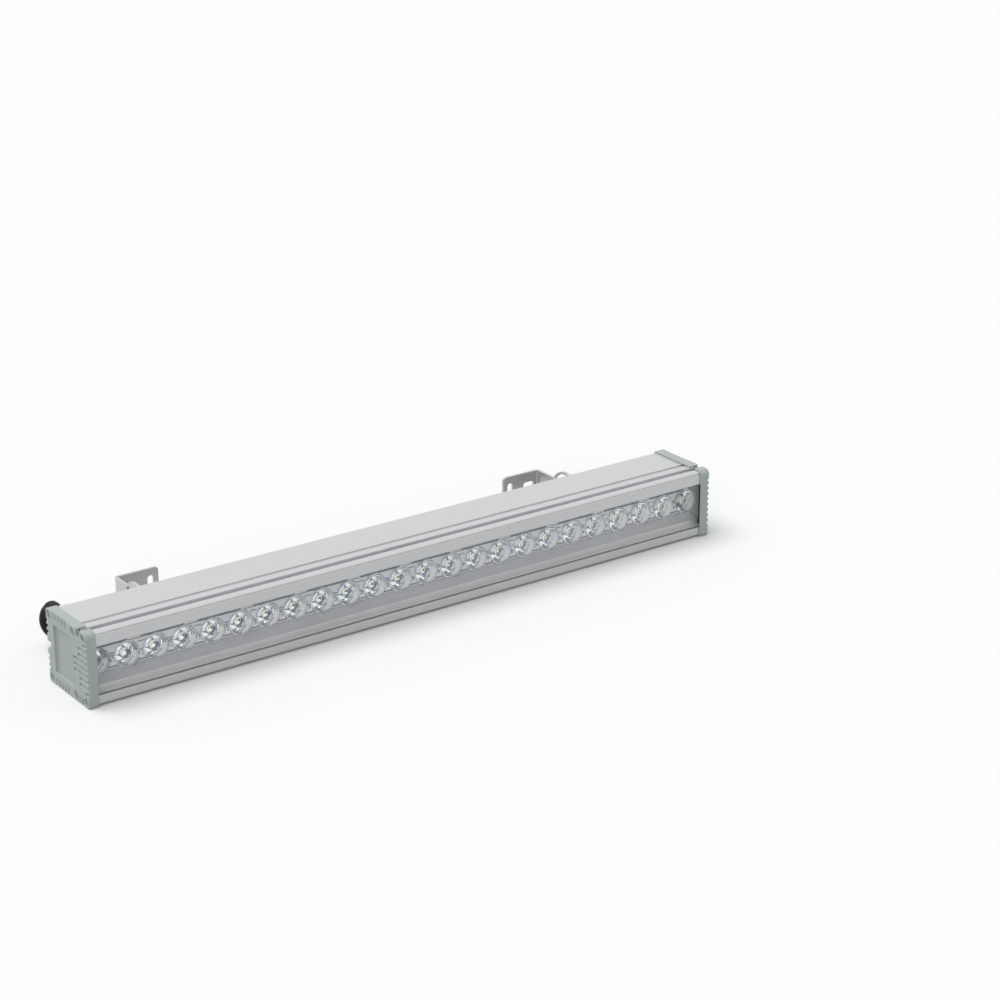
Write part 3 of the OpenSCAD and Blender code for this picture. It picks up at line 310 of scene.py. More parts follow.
def clear(name, colour, ior, streaks=(6, 400, 400)):
    """Clear glass or plastic that lets lamps through, with faint flow lines"""
    material = bpy.data.materials.new(name)
    material.use_nodes = True
    tree = material.node_tree
    link = tree.links.new
    surface = tree.nodes["Principled BSDF"]
    surface.inputs["Transmission Weight"].default_value = 1
    surface.inputs["IOR"].default_value = ior
    fine = place_group(tree, FINE_GRAIN, Size=streaks, Contrast=1.0)
    tint = add_node(tree, "ShaderNodeMix", data_type="RGBA")
    tint.inputs["A"].default_value = colour
    tint.inputs["B"].default_value = [min(1, c * CLEAR_LIGHTER) for c in colour[:3]] + [1]
    link(fine.outputs["Value"], tint.inputs["Factor"])
    link(tint.outputs["Result"], surface.inputs["Base Color"])
    haze = add_range(tree, "To", *CLEAR_HAZE)
    link(fine.outputs["Value"], haze.inputs["Value"])
    link(haze.outputs["Result"], surface.inputs["Roughness"])
    through = tree.nodes.new("ShaderNodeBsdfTransparent")
    through.inputs["Color"].default_value = CLEAR_PASS
    mix = tree.nodes.new("ShaderNodeMixShader")
    link(any_ray(tree, "Shadow", "Diffuse"), mix.inputs["Fac"])
    link(surface.outputs["BSDF"], mix.inputs[1])
    link(through.outputs["BSDF"], mix.inputs[2])
    link(mix.outputs["Shader"], tree.nodes["Material Output"].inputs["Surface"])
    return material


# Brushed along X: few noise cells along the light and fine ones across
ALONG_X = (7, 2400, 2400)
ANODISED = finish("anodised_aluminium", srgb(204, 205, 206), 0.42, metal=0.45, grain=ALONG_X,
                  contrast=1.6, tone=0.035, swing=0.05, relief=0.000006, mottle=9,
                  mottle_tone=0.015, rub=srgb(228, 229, 230), rub_radius=0.0004)
# Lighter copy of the anodised aluminium for the faces behind the glass: painted light for the shade
# in the chamber
CHAMBER_PAINTED_LIGHT = finish("chamber_aluminium_painted_light", srgb(224, 225, 227), 0.38, metal=0.35, grain=ALONG_X,
                       contrast=1.8, tone=0.03, swing=0.06, relief=0.000006, mottle=14,
                       mottle_tone=0.03)
# Lighter matt copy of the aluminium for the ledge behind the glass: painted light for the shade
# under the front lip
LEDGE_PAINTED_LIGHT = finish("ledge_aluminium_painted_light", srgb(224, 222, 219), 0.5, grain=ALONG_X, contrast=1.4,
                     tone=0.02, relief=0.000006, mottle=12, mottle_tone=0.02)
# Lighter copy of the aluminium for the inside of the top slot: painted light for the shade in the
# slot
SLOT_PAINTED_LIGHT = finish("slot_aluminium_painted_light", srgb(218, 220, 222), 0.40, metal=0.40, grain=ALONG_X,
                    contrast=1.6, tone=0.03, swing=0.05, relief=0.000006, mottle=12)
CAP_PAINT = finish("cap_powder_paint", srgb(172, 182, 178), 0.46, grain=(1500, 1500, 1500),
                   tone=0.04, swing=0.06, relief=0.00003, mottle=35, mottle_tone=0.02,
                   rub=srgb(205, 214, 210), rub_radius=0.0007, coat=0.05)
BRACKET_STEEL = finish("brushed_bracket_steel", srgb(200, 200, 202), 0.38, metal=0.8,
                       grain=(160, 3200, 3200), contrast=2.0, tone=0.08, swing=0.08,
                       relief=0.00001, rub=srgb(215, 215, 216), rub_radius=0.0004)
STAINLESS = finish("stainless_fastener", srgb(186, 186, 188), 0.28, metal=0.95,
                   grain=(2600, 2600, 2600), tone=0.06, swing=0.07, relief=0.00001,
                   rub=srgb(225, 225, 226), rub_radius=0.0003)
GLASS_IOR = 1.5
GLASS = clear("clear_glass", (0.97, 0.985, 0.98, 1), GLASS_IOR)
SEAL_RUBBER = finish("seal_rubber", srgb(122, 124, 127), 0.55, grain=(900, 900, 900), tone=0.08,
                     relief=0.00004)
# Near-white copy of the seal rubber for the lower seal's faces behind the glass: painted light for
# the shade in its channel
SEAL_PAINTED_LIGHT = finish("seal_rubber_painted_light", srgb(246, 247, 248), 0.55, grain=(900, 900, 900),
                   tone=0.08, relief=0.00004)
BUSH_RUBBER = finish("bush_rubber", srgb(52, 53, 55), 0.62, grain=(900, 900, 900), tone=0.10,
                     relief=0.00004)
CAP_ZINC = finish("cap_screw_zinc", srgb(160, 167, 165), 0.46, metal=0.3, grain=(2600, 2600, 2600),
                  tone=0.08, swing=0.07, relief=0.00002)
GASKET_RUBBER = finish("gasket_rubber", srgb(44, 45, 46), 0.66, grain=(1100, 1100, 1100),
                       tone=0.10, relief=0.00004)
BOARD_WHITE = finish("board_solder_mask", srgb(254, 252, 255), 0.42, grain=(2000, 2000, 2000),
                     tone=0.03, relief=0.000008, mottle=60, mottle_tone=0.02, coat=0.2)
TRACE_BLUE = finish("board_trace", srgb(24, 106, 150), 0.38, grain=(2600, 2600, 2600), tone=0.10,
                    relief=0.00001)
# Dark for the board's holes, and for the painted shadow lines along the board
HOLE_AND_SHADOW_DARK = finish("board_hole_and_painted_shadow", srgb(52, 50, 52), 0.5, grain=(3000, 3000, 3000), tone=0.15,
                   relief=0.00001)
CHIP_CERAMIC = finish("chip_ceramic", srgb(232, 232, 228), 0.35, grain=(4000, 4000, 4000),
                      tone=0.03, relief=0.000005)
PHOSPHOR = finish("chip_phosphor", srgb(236, 228, 48), 0.62, grain=(9000, 9000, 9000),
                  contrast=2.0, tone=0.12, relief=0.00001)
ACRYLIC_IOR = 1.49
LENS_CLEAR = clear("lens_acrylic", (0.985, 0.985, 0.99, 1), ACRYLIC_IOR, streaks=(500, 500, 500))
LENS_RIM = clear("lens_rim", (0.52, 0.65, 0.76, 1), ACRYLIC_IOR, streaks=(500, 500, 500))
PAD_GREY = finish("thermal_pad", srgb(150, 152, 156), 0.75, grain=(1500, 1500, 1500), tone=0.06,
                  relief=0.00004)
DRIVER_METAL = finish("driver_case_metal", srgb(178, 180, 183), 0.38, metal=0.8,
                      grain=(1800, 200, 1800), contrast=1.6, tone=0.05, relief=0.00001)
CIRCUIT_GREEN = finish("circuit_board_green", srgb(34, 96, 58), 0.40, grain=(1800, 1800, 1800),
                       tone=0.10, relief=0.00002)
WINDING = finish("inductor_winding", srgb(176, 132, 40), 0.42, grain=(300, 300, 2600),
                 contrast=2.4, tone=0.20, relief=0.00008)
CAPACITOR = finish("capacitor_sleeve", srgb(30, 36, 52), 0.34, grain=(1200, 1200, 1200),
                   tone=0.12, relief=0.00002)
TERMINAL = finish("terminal_ivory", srgb(222, 216, 198), 0.48, grain=(1300, 1300, 1300),
                  tone=0.04, relief=0.00003)
CORE_BROWN = finish("core_brown", srgb(112, 66, 38), 0.48, grain=(900, 900, 900), tone=0.10,
                    relief=0.00003)
CORE_BLUE = finish("core_blue", srgb(48, 84, 150), 0.48, grain=(900, 900, 900), tone=0.10,
                   relief=0.00003)
LEAD_BLUE = finish("lead_blue", srgb(52, 96, 160), 0.46, grain=(900, 900, 900), tone=0.10,
                   relief=0.00003)
LEAD_RED = finish("lead_red", srgb(166, 42, 36), 0.46, grain=(900, 900, 900), tone=0.10,
                  relief=0.00003)
GLAND_NYLON = finish("gland_nylon", srgb(236, 236, 234), 0.44, grain=(1400, 1400, 1400),
                     tone=0.02, relief=0.00002, rub=srgb(246, 246, 245))
CABLE_BLACK = finish("cable_jacket", srgb(17, 17, 19), 0.54, grain=(700, 700, 700), tone=0.14,
                     swing=0.08, relief=0.00004, shine=0.22)
TIE_NYLON = finish("tie_nylon", srgb(28, 28, 30), 0.38, grain=(1200, 1200, 1200), tone=0.12,
                   relief=0.00002)


# Helpers that make pieces
MERGE_GAP = 0.002 * MM
FLAT_ANGLE = math.radians(0.8)
SHARP_ANGLE = math.radians(35)
MADE_SHARP_ANGLE = math.radians(30)


def add_piece(name, mesh, materials, body):
    piece = bpy.data.objects.new(name, mesh)
    for material in materials:
        mesh.materials.append(material)
    bpy.context.scene.collection.objects.link(piece)
    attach(piece, body)
    return piece


def round_edges(piece, width, segments):
    bevel = piece.modifiers.new("rounded_edges", "BEVEL")
    bevel.width = width
    bevel.segments = segments
    bevel.limit_method = "ANGLE"
    bevel.angle_limit = SHARP_ANGLE
    bevel.use_clamp_overlap = False
    bevel.miter_outer = "MITER_ARC"
    even = piece.modifiers.new("even_normals", "WEIGHTED_NORMAL")
    even.keep_sharp = True


def dressed(node, materials, width=0.0, segments=2, choose=None):
    """Copy of a CAD node with merged flat faces, rounded edges and its finish"""
    bm = bmesh.new()
    bm.from_mesh(NODES[node].data)
    bmesh.ops.remove_doubles(bm, verts=bm.verts, dist=MERGE_GAP)
    bmesh.ops.dissolve_limit(bm, angle_limit=FLAT_ANGLE, verts=bm.verts, edges=bm.edges,
                             use_dissolve_boundaries=False)
    for face in bm.faces:
        face.smooth = True
        face.material_index = choose(face.calc_center_median()) if choose else 0
    mesh = bpy.data.meshes.new(node + "_dressed")
    bm.to_mesh(mesh)
    bm.free()
    mesh.set_sharp_from_angle(angle=SHARP_ANGLE)
    piece = add_piece(node + "_dressed", mesh, materials, NODES[node]["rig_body"])
    if width:
        round_edges(piece, width, segments)
    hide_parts(node)
    return piece


def carry(node, material):
    """CAD node that stays as it is, with its finish"""
    mesh = NODES[node].data
    mesh.materials.clear()
    mesh.materials.append(material)


# Supply lead: the free stretch through listed points, then the hank under its tie. A point is given
# from the gland's middle along X, from the housing's back along Y and from the floor
CORD_ROUTE = [(0, .031, .0455), (.0005, .0375, .0445), (0, .043, .042), (.0005, .0485, .038),
              (0, .0525, .0335), (0, .056, .027), (.001, .0575, .0205), (.0035, .0585, .015),
              (.0075, .060, .010), (.0125, .061, .0065), (.018, .0615, .004), (.025, .062, .0032),
              (.036, .0625, .0032), (.050, .064, .0032), (.064, .0655, .0032),
              (.080, .0665, .0032), (.100, .067, .0032), (.130, .0675, .0032),
              (.160, .068, .0032), (.190, .0685, .0032)]
HANK_X = GLAND_X + 285 * MM
HANK_Y = HOUSING_BACK + 38 * MM
HANK_HALF = 60 * MM
HANK_R = 21 * MM
HANK_WAIST = 1.8 * MM
HANK_PITCH = 7.8 * MM
HANK_TURNS = 1.625
HANK_STEPS = 39
HANK_LIFT = 1.0 * MM
HANK_BULB_TURNS = 1.25  # turns after which the end loops have the radius HANK_R
TAIL = 34 * MM
TAIL_SHARES = (0, 0.35, 0.7, 1)
TAIL_DROP = 0.9  # share of the lift that the tail loses again
CORD_FAR_Y = cad_box[1].y - CORD_D / 2
SPLINE_PARTS = 3
FERRULE = 8 * MM


def hank_point(s):
    """Point of the hank after s turns, about its middle"""
    size = HANK_PITCH * (HANK_TURNS - s)
    bulb = HANK_R - HANK_PITCH * (HANK_TURNS - HANK_BULB_TURNS) + size
    share = s - math.floor(s)
    along = (share % 0.25) * 4
    side = 1 if share < 0.5 else -1
    if share % 0.5 < 0.25:
        x = side * HANK_HALF * (2 * along - 1)
        waist = HANK_WAIST + size
        y = side * (waist + (bulb - waist) * (1 - math.cos(math.pi * abs(x) / HANK_HALF)) / 2)
    else:
        x = side * (HANK_HALF + bulb * math.sin(math.pi * along))
        y = side * bulb * math.cos(math.pi * along)
    near = min(abs(x), HANK_HALF) / HANK_HALF
    return Vector((x, y, CORD_D / 2 + HANK_LIFT * (1 + math.cos(math.pi * near)) / 2))


def spline_through(points, parts):
    """Points on a smooth curve through the given ones"""
    found = []
    for i in range(len(points) - 1):
        a, b = points[max(i - 1, 0)], points[i]
        c, d = points[i + 1], points[min(i + 2, len(points) - 1)]
        for k in range(parts):
            t = k / parts
            found.append(0.5 * ((2 * b) + (c - a) * t + (2 * a - 5 * b + 4 * c - d) * t * t
                                + (3 * b - a - 3 * c + d) * t * t * t))
    return found + [points[-1]]


def lead_path():
    free = [Vector((GLAND_X, GLAND_TIP, GLAND_Z)), Vector((GLAND_X, GLAND_TIP + CORD_D, GLAND_Z))]
    free += [Vector((GLAND_X + x, HOUSING_BACK + y, z)) for x, y, z in CORD_ROUTE]
    last = hank_point(HANK_TURNS)
    hank = [Vector((-HANK_HALF - CORD_D, hank_point(0).y, CORD_D / 2))]
    hank += [hank_point(i * HANK_TURNS / HANK_STEPS) for i in range(HANK_STEPS)]
    hank += [last - share * Vector((TAIL, 0, HANK_LIFT * TAIL_DROP)) for share in TAIL_SHARES]
    path = spline_through(free + [p + Vector((HANK_X, HANK_Y, 0)) for p in hank], SPLINE_PARTS)
    return [Vector((p.x, min(p.y, CORD_FAR_Y), p.z)) for p in path]


def make_cord():
    path = lead_path()
    curve = bpy.data.curves.new("supply_lead", "CURVE")
    curve.dimensions = "3D"
    curve.bevel_depth = CORD_D / 2
    curve.bevel_resolution = 6
    curve.use_fill_caps = True
    spline = curve.splines.new("POLY")
    spline.points.add(len(path) - 1)
    for point, at in zip(spline.points, path):
        point.co = (*at, 1)
    spline.use_smooth = True
    cord = add_piece("supply_lead", curve, [CABLE_BLACK], "root")
    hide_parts("supply_cord", "cord_hank")
    tie = dressed("cord_tie", [TIE_NYLON], 0.25 * MM)
    low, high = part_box("cord_end_cores")
    ferrule = low.x + FERRULE + CUT_MARGIN
    between = (low.y + high.y) / 2
    cores = dressed("cord_end_cores", [CORE_BROWN, CORE_BLUE, STAINLESS], 0.1 * MM,
                    choose=lambda at: 2 if at.x < ferrule else int(at.y > between))


make_cord()


# Housing, caps and glass
GLASS_LOW, GLASS_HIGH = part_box("front_glass")
HOUSING_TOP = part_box("housing_extrusion")[1].z
# Middle of the top slot, half its width inside, and how far below the top its walls lie, which
# bound the slot's painted light
TOP_SLOT_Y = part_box("end_cap_left")[0].y + 12.6 * MM
TOP_SLOT_HALF = 6.5 * MM
TOP_SLOT_FLOOR = 8 * MM
TOP_SLOT_EDGE = 0.3 * MM
# Margins round the space behind the glass, where the aluminium gets painted light: past the board's
# face, at the ends, and the ledge
CHAMBER_DEEPER = 2.5 * MM
CHAMBER_END = 1 * MM
LEDGE_RISE = 2 * MM
LEDGE_DEPTH = 6 * MM
# Recess in a cap's face, which is shown deeper than it is
PANEL_Y = (-41 * MM, -10 * MM)
PANEL_Z = (10 * MM, 51 * MM)
PANEL_DEEP = 1 * MM
PANEL_MORE = 1.1 * MM
PANEL_NEAR = 0.02 * MM
# Seals: name, which end of their box is seen, and how far that edge is drawn back
SEALS = (("glass_seal_lower", 1, 0.9 * MM), ("glass_seal_upper", 0, 0.4 * MM))
SEAL_EDGE = 0.2 * MM


def housing_painted_light_index(at):
    """Material of a housing face: 1 behind the glass, 2 in the top slot and 3 on the ledge take
    lighter copies of the aluminium as painted light for their shade, or else 0
    """
    behind = (GLASS_HIGH.y < at.y < BOARD_FACE + CHAMBER_DEEPER
              and GLASS_LOW.z < at.z < GLASS_HIGH.z)
    in_slot = (abs(at.y - TOP_SLOT_Y) < TOP_SLOT_HALF
               and HOUSING_TOP - TOP_SLOT_FLOOR < at.z < HOUSING_TOP - TOP_SLOT_EDGE)
    on_ledge = behind and at.z < GLASS_LOW.z + LEDGE_RISE and at.y < GLASS_HIGH.y + LEDGE_DEPTH
    return (behind + 2 * in_slot + 2 * on_ledge) * (abs(at.x) < GLASS_HIGH.x - CHAMBER_END)


def seal_painted_light_index(at):
    """Material of a seal's face: 1, a near-white copy of the rubber as painted light, on the lower
    seal behind the front of the glass, or else 0
    """
    return int(at.z < LED_Z and at.y > GLASS_LOW.y + CUT_MARGIN)


def in_panel(at, face):
    """Whether a cap's vertex lies on the floor of its panel"""
    return (abs(abs(at.x) - face + PANEL_DEEP) < PANEL_NEAR
            and PANEL_Y[0] < at.y < PANEL_Y[1] and PANEL_Z[0] < at.z < PANEL_Z[1])


# The housing's faces behind the glass, on the ledge and in the top slot take the lighter copies:
# painted light
dressed("housing_extrusion", [ANODISED, CHAMBER_PAINTED_LIGHT, SLOT_PAINTED_LIGHT, LEDGE_PAINTED_LIGHT],
        0.25 * MM, choose=housing_painted_light_index)
for side in ("left", "right"):
    cap = dressed("end_cap_" + side, [CAP_PAINT], 0.45 * MM, segments=3)
    face = max(abs(v.x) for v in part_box("end_cap_" + side))
    for vertex in cap.data.vertices:
        if in_panel(vertex.co, face):
            vertex.co.x -= math.copysign(PANEL_MORE, vertex.co.x)
    dressed("end_gasket_" + side, [GASKET_RUBBER], 0.1 * MM)
    dressed("cap_screws_" + side, [CAP_ZINC], 0.2 * MM)
dressed("front_glass", [GLASS], 0.3 * MM)
# The lower seal's faces behind the glass take the near-white copy: painted light
for name, tip, trim in SEALS:
    seal = dressed(name, [SEAL_RUBBER, SEAL_PAINTED_LIGHT], 0.15 * MM, choose=seal_painted_light_index)
    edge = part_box(name)[tip].z
    for vertex in seal.data.vertices:
        if abs(vertex.co.z - edge) < SEAL_EDGE:
            vertex.co.z = edge - trim if tip else edge + trim


# Light unit
def revolve(bm, profile, steps, centre, material, rim=()):
    """Solid of revolution about Y through centre, from (radius, height towards the front) pairs.
    The segments numbered in rim take the next material"""
    rings = []
    for radius, height in profile:
        at = centre + Vector((0, -height, 0))
        if radius < 1e-7:
            rings.append([bm.verts.new(at)])
        else:
            rings.append([bm.verts.new(at + radius * Vector((math.cos(a), 0, math.sin(a))))
                          for a in (2 * math.pi * k / steps for k in range(steps))])
    for number, (low, high) in enumerate(zip(rings, rings[1:] + rings[:1])):
        for k in range(steps):
            m = (k + 1) % steps
            corners = list(dict.fromkeys([low[k % len(low)], low[m % len(low)],
                                          high[m % len(high)], high[k % len(high)]]))
            if len(corners) > 2:
                face = bm.faces.new(corners)
                face.material_index = material + (number in rim)
                face.smooth = True


def block(bm, low, high, material):
    """Box between two opposite corners"""
    corners = [bm.verts.new((x, y, z)) for x in (low.x, high.x) for y in (low.y, high.y)
               for z in (low.z, high.z)]
    for ids in ((0, 1, 3, 2), (4, 6, 7, 5), (0, 4, 5, 1), (2, 3, 7, 6), (0, 2, 6, 4), (1, 5, 7, 3)):
        face = bm.faces.new([corners[i] for i in ids])
        face.material_index = material


def from_bmesh(name, bm):
    bmesh.ops.recalc_face_normals(bm, faces=bm.faces)
    mesh = bpy.data.meshes.new(name)
    bm.to_mesh(mesh)
    bm.free()
    mesh.set_sharp_from_angle(angle=MADE_SHARP_ANGLE)
    return mesh


# Half section of a lens, as (radius, height above the board) in mm: the wall from the board
# outwards, the flange, the front, and the front and the back of the eye in its middle
LENS_STEPS = 72
LENS_SIDE = [(5.0, 0.6), (5.9, 1.9), (6.85, 3.35), (7.63, 4.79), (8.3, 5.9), (9.0, 7.0),
             (9.81, 8.21), (10.15, 9.1), (10.36, 9.95)]
LENS_FLANGE = [(10.5, 10.1), (10.7, 10.1), (10.9, 10.25), (10.9, 11.25), (10.75, 11.4)]
LENS_FRONT = [(9.9, 11.4), (9.7, 11.3), (9.55, 10.95), (9.35, 10.85), (4.6, 10.85), (4.35, 10.8)]
LENS_EYE_FRONT = [(4.1, 10.55), (3.6, 10.85), (2.6, 11.1), (1.4, 11.22), (0, 11.26)]
LENS_EYE_BACK = [(0, 2.0), (1.0, 2.06), (1.9, 2.26), (2.5, 2.5), (2.8, 2.7), (2.8, 0.75),
                 (2.9, 0.6)]
LEG = [(0.8, 0), (0.8, 0.6), (0, 0.6), (0, 0)]
LEG_CIRCLE = 4.1 * MM
LEG_ANGLES = (90, 210, 330)
LEG_STEPS = 12
# A chip: its base, the step on it, the yellow square and the dome over it
CHIP_HALF = 1.75 * MM
CHIP_STEP_HALF = 1.55 * MM
CHIP_GLOW_HALF = 1.35 * MM
CHIP_TOP = 0.8 * MM
CHIP_STEP = 0.25 * MM
CHIP_GLOW = 0.05 * MM
DOME_R = 1.6
DOME_H = 0.8
DOME_PARTS = 7
DOME_STEPS = 24


def in_metres(profile):
    return [(radius * MM, height * MM) for radius, height in profile]


def make_lenses():
    bm = bmesh.new()
    profile = in_metres(LENS_SIDE + LENS_FLANGE + LENS_FRONT + LENS_EYE_FRONT + LENS_EYE_BACK)
    rim = range(len(LENS_SIDE) - 1, len(LENS_SIDE) + len(LENS_FLANGE))
    for centre in LED_CENTRES:
        revolve(bm, profile, LENS_STEPS, centre, 0, rim)
        for angle in map(math.radians, LEG_ANGLES):
            out = LEG_CIRCLE * Vector((math.cos(angle), 0, math.sin(angle)))
            revolve(bm, in_metres(LEG), LEG_STEPS, centre + out, 0)
    piece = add_piece("collimating_lenses", from_bmesh("collimating_lenses", bm),
                      [LENS_CLEAR, LENS_RIM], "root")
    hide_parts("lenses")


def make_chips():
    bm = bmesh.new()
    bends = [math.pi / 2 * k / DOME_PARTS for k in range(DOME_PARTS)]
    dome = [(DOME_R * math.cos(a), DOME_H + DOME_H * math.sin(a)) for a in bends]
    dome = in_metres(dome + [(0, 2 * DOME_H), (0, DOME_H)])
    # Layers of a chip: half width, nearest and farthest height above the board, and material
    layers = ((CHIP_HALF, 0, CHIP_TOP - CHIP_STEP, 0),
              (CHIP_STEP_HALF, CHIP_TOP - CHIP_STEP, CHIP_TOP, 0),
              (CHIP_GLOW_HALF, CHIP_TOP, CHIP_TOP + CHIP_GLOW, 1))
    for centre in LED_CENTRES:
        for half, under, over, material in layers:
            block(bm, centre + Vector((-half, -over, -half)), centre + Vector((half, -under, half)),
                  material)
        revolve(bm, dome, DOME_STEPS, centre, 1)
    piece = add_piece("led_chips", from_bmesh("led_chips", bm), [CHIP_CERAMIC, PHOSPHOR],
                      "root")
    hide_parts("led_emitters")


# Height of the blue traces, the dark holes and the painted shadow lines above the board
TRACE_T = 0.05 * MM
# Straight traces beside every second LED and beside the others, in mm: from and to along X, middle
# and width along Z, from the LED
TRACES = [[(-9.9, -3.9, 2.6, 0.7), (-6.7, -3.9, -7.0, 0.9), (-6.7, -4.3, -8.7, 0.9),
           (-11.0, -9.0, -7.9, 0.9), (-11.0, -9.4, -9.5, 0.8)],
          [(-10.4, -3.5, -1.4, 0.95), (-9.8, -3.4, -3.4, 0.95), (-6.6, -3.8, -8.2, 0.9),
           (-12.0, -9.2, -10.0, 0.9), (-8.7, -7.8, -7.4, 2.6)]]
# Arcs round one LED, in mm and degrees: radius, from and to angle, width
TRACE_ARCS = [(4.9, 196, 256, 0.9), (4.9, 284, 344, 0.9), (8.4, 206, 252, 0.8),
              (8.4, 276, 322, 0.8), (5.2, 20, 66, 0.7)]
ARC_STEP = 6
# Long trace above every second LED and its right neighbour, with values like the short ones
TRACE_RAIL = (-7, 31, 6.6, 0.95)
# Dark hole between two LEDs: its place from the left one and its radius
HOLE_X = 11.9 * MM
HOLE_Z = -5.3 * MM
HOLE_R = 1.1 * MM
HOLE_STEPS = 16
# Shadow lines under the rail and near the board's lower edge: middle from the LEDs, and width
PAINTED_SHADOW_LINES = [(5.7 * MM, 0.55 * MM), (-12.5 * MM, 1.0 * MM)]


def straight_trace(bm, centre, start, end, z, width):
    """Trace from start to end along X, in mm from centre, unless it leaves the board"""
    if max(abs(centre.x + start * MM), abs(centre.x + end * MM)) <= BOARD_REACH:
        block(bm, centre + Vector((start * MM, -TRACE_T, (z - width / 2) * MM)),
              centre + Vector((end * MM, 0, (z + width / 2) * MM)), 0)


def arc_strip(bm, centre, radius, start, end, width, material):
    """Flat strip round centre between two angles"""
    steps = max(4, int((end - start) / ARC_STEP))
    angles = [math.radians(start + (end - start) * k / steps) for k in range(steps + 1)]
    rows = []
    for a in angles:
        way = Vector((math.cos(a), 0, math.sin(a)))
        rows.append([bm.verts.new(centre + r * way + Vector((0, y, 0)))
                     for r in (radius - width / 2, radius + width / 2) for y in (-TRACE_T, 0)])
    for a, b in zip(rows, rows[1:]):
        for i, k in ((0, 1), (1, 3), (3, 2), (2, 0)):
            bm.faces.new((a[i], a[k], b[k], b[i])).material_index = material
    for row in (rows[0], rows[-1]):
        bm.faces.new((row[0], row[1], row[3], row[2])).material_index = material


def make_traces_and_painted_shadow():
    bm = bmesh.new()
    for index, centre in enumerate(LED_CENTRES):
        for trace in TRACES[index % 2]:
            straight_trace(bm, centre, *trace)
        for radius, start, end, width in TRACE_ARCS:
            arc_strip(bm, centre, radius * MM, start, end, width * MM, 0)
        if index < LED_COUNT - 1:
            hole = centre + Vector((HOLE_X, 0, HOLE_Z))
            revolve(bm, [(HOLE_R, 0), (HOLE_R, TRACE_T), (0, TRACE_T), (0, 0)], HOLE_STEPS, hole, 1)
            if index % 2 == 0:
                straight_trace(bm, centre, *TRACE_RAIL)
    # Painted shadow lines along the board, in the dark of the holes
    for middle, width in PAINTED_SHADOW_LINES:
        block(bm, Vector((-BOARD_REACH, BOARD_FACE - TRACE_T, LED_Z + middle - width / 2)),
              Vector((BOARD_REACH, BOARD_FACE, LED_Z + middle + width / 2)), 1)
    add_piece("board_traces_and_painted_shadow", from_bmesh("board_traces_and_painted_shadow", bm), [TRACE_BLUE, HOLE_AND_SHADOW_DARK], "root")


make_lenses()
make_chips()
make_traces_and_painted_shadow()
dressed("led_board", [BOARD_WHITE], 0.1 * MM)
dressed("board_screws", [STAINLESS], 0.2 * MM)


# Brackets, one set at each end
for side in ("left", "right"):
    for node in ("slide_plate", "wall_bracket"):
        dressed(f"{node}_{side}", [BRACKET_STEEL], 0.3 * MM)
    for node in ("slot_screws", "slot_washers", "slot_nuts", "pivot_bolt", "pivot_washer",
                 "pivot_nut", "clamp_bolt", "clamp_washer", "clamp_nut"):
        dressed(f"{node}_{side}", [STAINLESS], 0.15 * MM)


# Cable gland
for node in ("gland_body", "gland_nut"):
    dressed(node, [GLAND_NYLON], 0.3 * MM)
dressed("gland_washer", [BUSH_RUBBER], 0.1 * MM)
carry("gland_locknut", GLAND_NYLON)
carry("gland_bush", BUSH_RUBBER)
carry("cord_entry", CABLE_BLACK)


# Pieces inside the housing
for node, material, slot in (
        ("thermal_pad", PAD_GREY, "pad_grey"), ("driver_case", DRIVER_METAL, "driver_metal"),
        ("driver_cover", DRIVER_METAL, "driver_metal"),
        ("driver_cover_screws", STAINLESS, "stainless"), ("driver_pads", PAD_GREY, "pad_grey"),
        ("driver_circuit_board", CIRCUIT_GREEN, "circuit_green"),
        ("driver_inductor", WINDING, "winding_yellow"),
        ("driver_capacitors", CAPACITOR, "capacitor_sleeve"),
        ("terminal_block", TERMINAL, "terminal_ivory"), ("terminal_screw", STAINLESS, "stainless"),
        ("supply_cores", CORE_BROWN, "core_brown"), ("driver_input_leads", LEAD_BLUE, "lead_blue"),
        ("led_leads", LEAD_RED, "lead_red")):
    carry(node, material)


# Floor, lamps and sky
FLOOR_COLOUR = (0.99, 0.992, 0.995, 1)
FLOOR_BOUNCE = (0.5, 0.5, 0.5, 1)
FLOOR_HALF = 12
FLOOR_Z = -0.2 * MM
SKY_LEVEL = 0.50


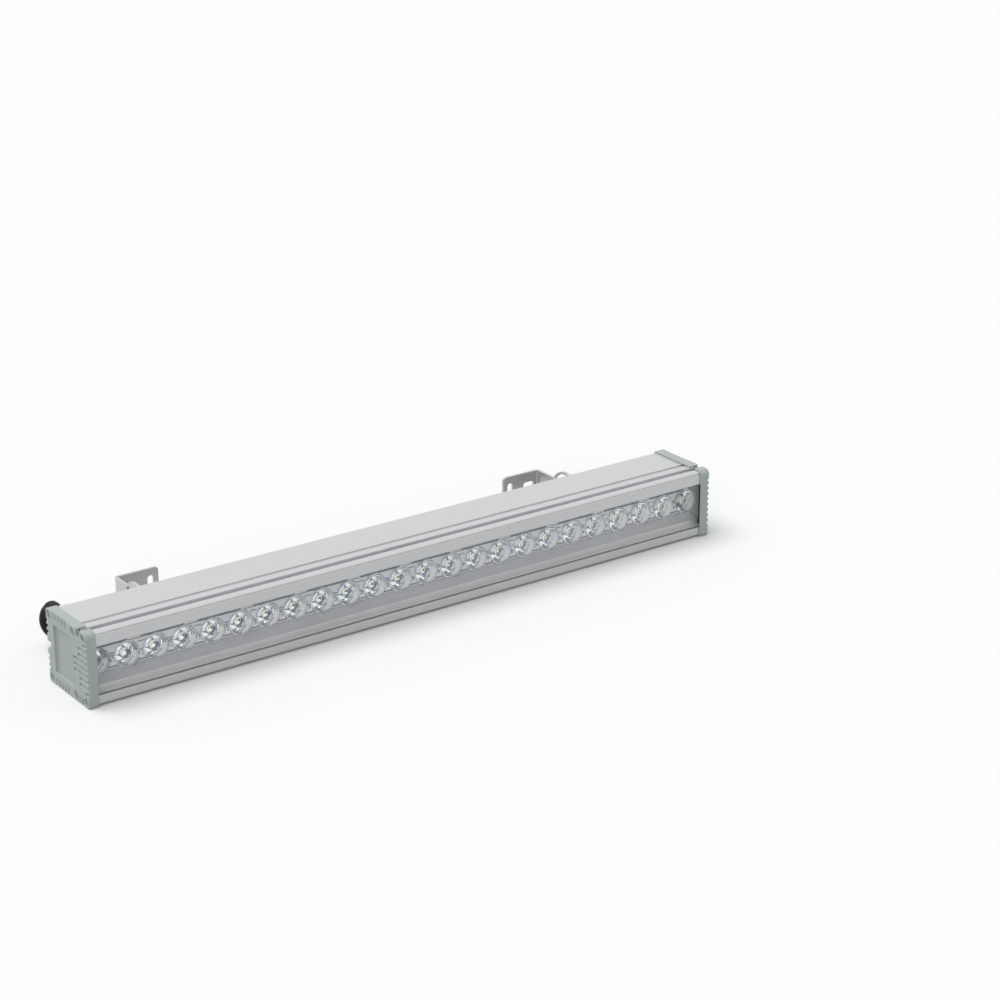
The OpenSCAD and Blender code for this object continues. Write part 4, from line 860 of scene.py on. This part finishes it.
def make_floor():
    bm = bmesh.new()
    bm.faces.new([bm.verts.new((x * FLOOR_HALF, y * FLOOR_HALF, FLOOR_Z)) for x, y in
                  ((-1, -1), (1, -1), (1, 1), (-1, 1))])
    mesh = bpy.data.meshes.new("floor")
    bm.to_mesh(mesh)
    bm.free()
    floor = bpy.data.objects.new("floor", mesh)
    bpy.context.scene.collection.objects.link(floor)
    material = bpy.data.materials.new("floor_white")
    material.use_nodes = True
    tree = material.node_tree
    link = tree.links.new
    tree.nodes.remove(tree.nodes["Principled BSDF"])
    matt = tree.nodes.new("ShaderNodeBsdfDiffuse")
    colour = add_node(tree, "ShaderNodeMix", data_type="RGBA")
    colour.inputs["A"].default_value = FLOOR_BOUNCE
    colour.inputs["B"].default_value = FLOOR_COLOUR
    link(any_ray(tree, "Camera", "Glossy", "Transmission"), colour.inputs["Factor"])
    link(colour.outputs["Result"], matt.inputs["Color"])
    link(matt.outputs["BSDF"], tree.nodes["Material Output"].inputs["Surface"])
    mesh.materials.append(material)


def add_sun(name, towards, strength, spread):
    """Sun that shines from the direction towards, spread over an angle"""
    lamp = bpy.data.lights.new(name, "SUN")
    lamp.energy = strength
    lamp.angle = spread
    sun = bpy.data.objects.new(name, lamp)
    sun.rotation_mode = "QUATERNION"
    sun.rotation_quaternion = Vector(towards).to_track_quat("Z", "Y")
    bpy.context.scene.collection.objects.link(sun)


def make_sky():
    world = bpy.data.worlds.new("studio")
    bpy.context.scene.world = world
    world.use_nodes = True
    tree = world.node_tree
    link = tree.links.new
    light = tree.nodes["Background"]
    light.inputs["Color"].default_value = (1, 1, 1, 1)
    light.inputs["Strength"].default_value = SKY_LEVEL
    white = tree.nodes.new("ShaderNodeBackground")
    white.inputs["Color"].default_value = FLOOR_COLOUR
    white.inputs["Strength"].default_value = 1
    mix = tree.nodes.new("ShaderNodeMixShader")
    link(any_ray(tree, "Camera", "Glossy", "Transmission"), mix.inputs["Fac"])
    link(light.outputs["Background"], mix.inputs[1])
    link(white.outputs["Background"], mix.inputs[2])
    link(mix.outputs["Shader"], tree.nodes["World Output"].inputs["Surface"])


make_floor()
add_sun("soft_lamp", towards=(-0.30, 0.22, 0.93), strength=1.52, spread=0.75)
add_sun("front_fill", towards=(-0.55, -0.80, 0.25), strength=0.54, spread=0.9)
make_sky()
bpy.context.scene.view_settings.view_transform = "Standard"
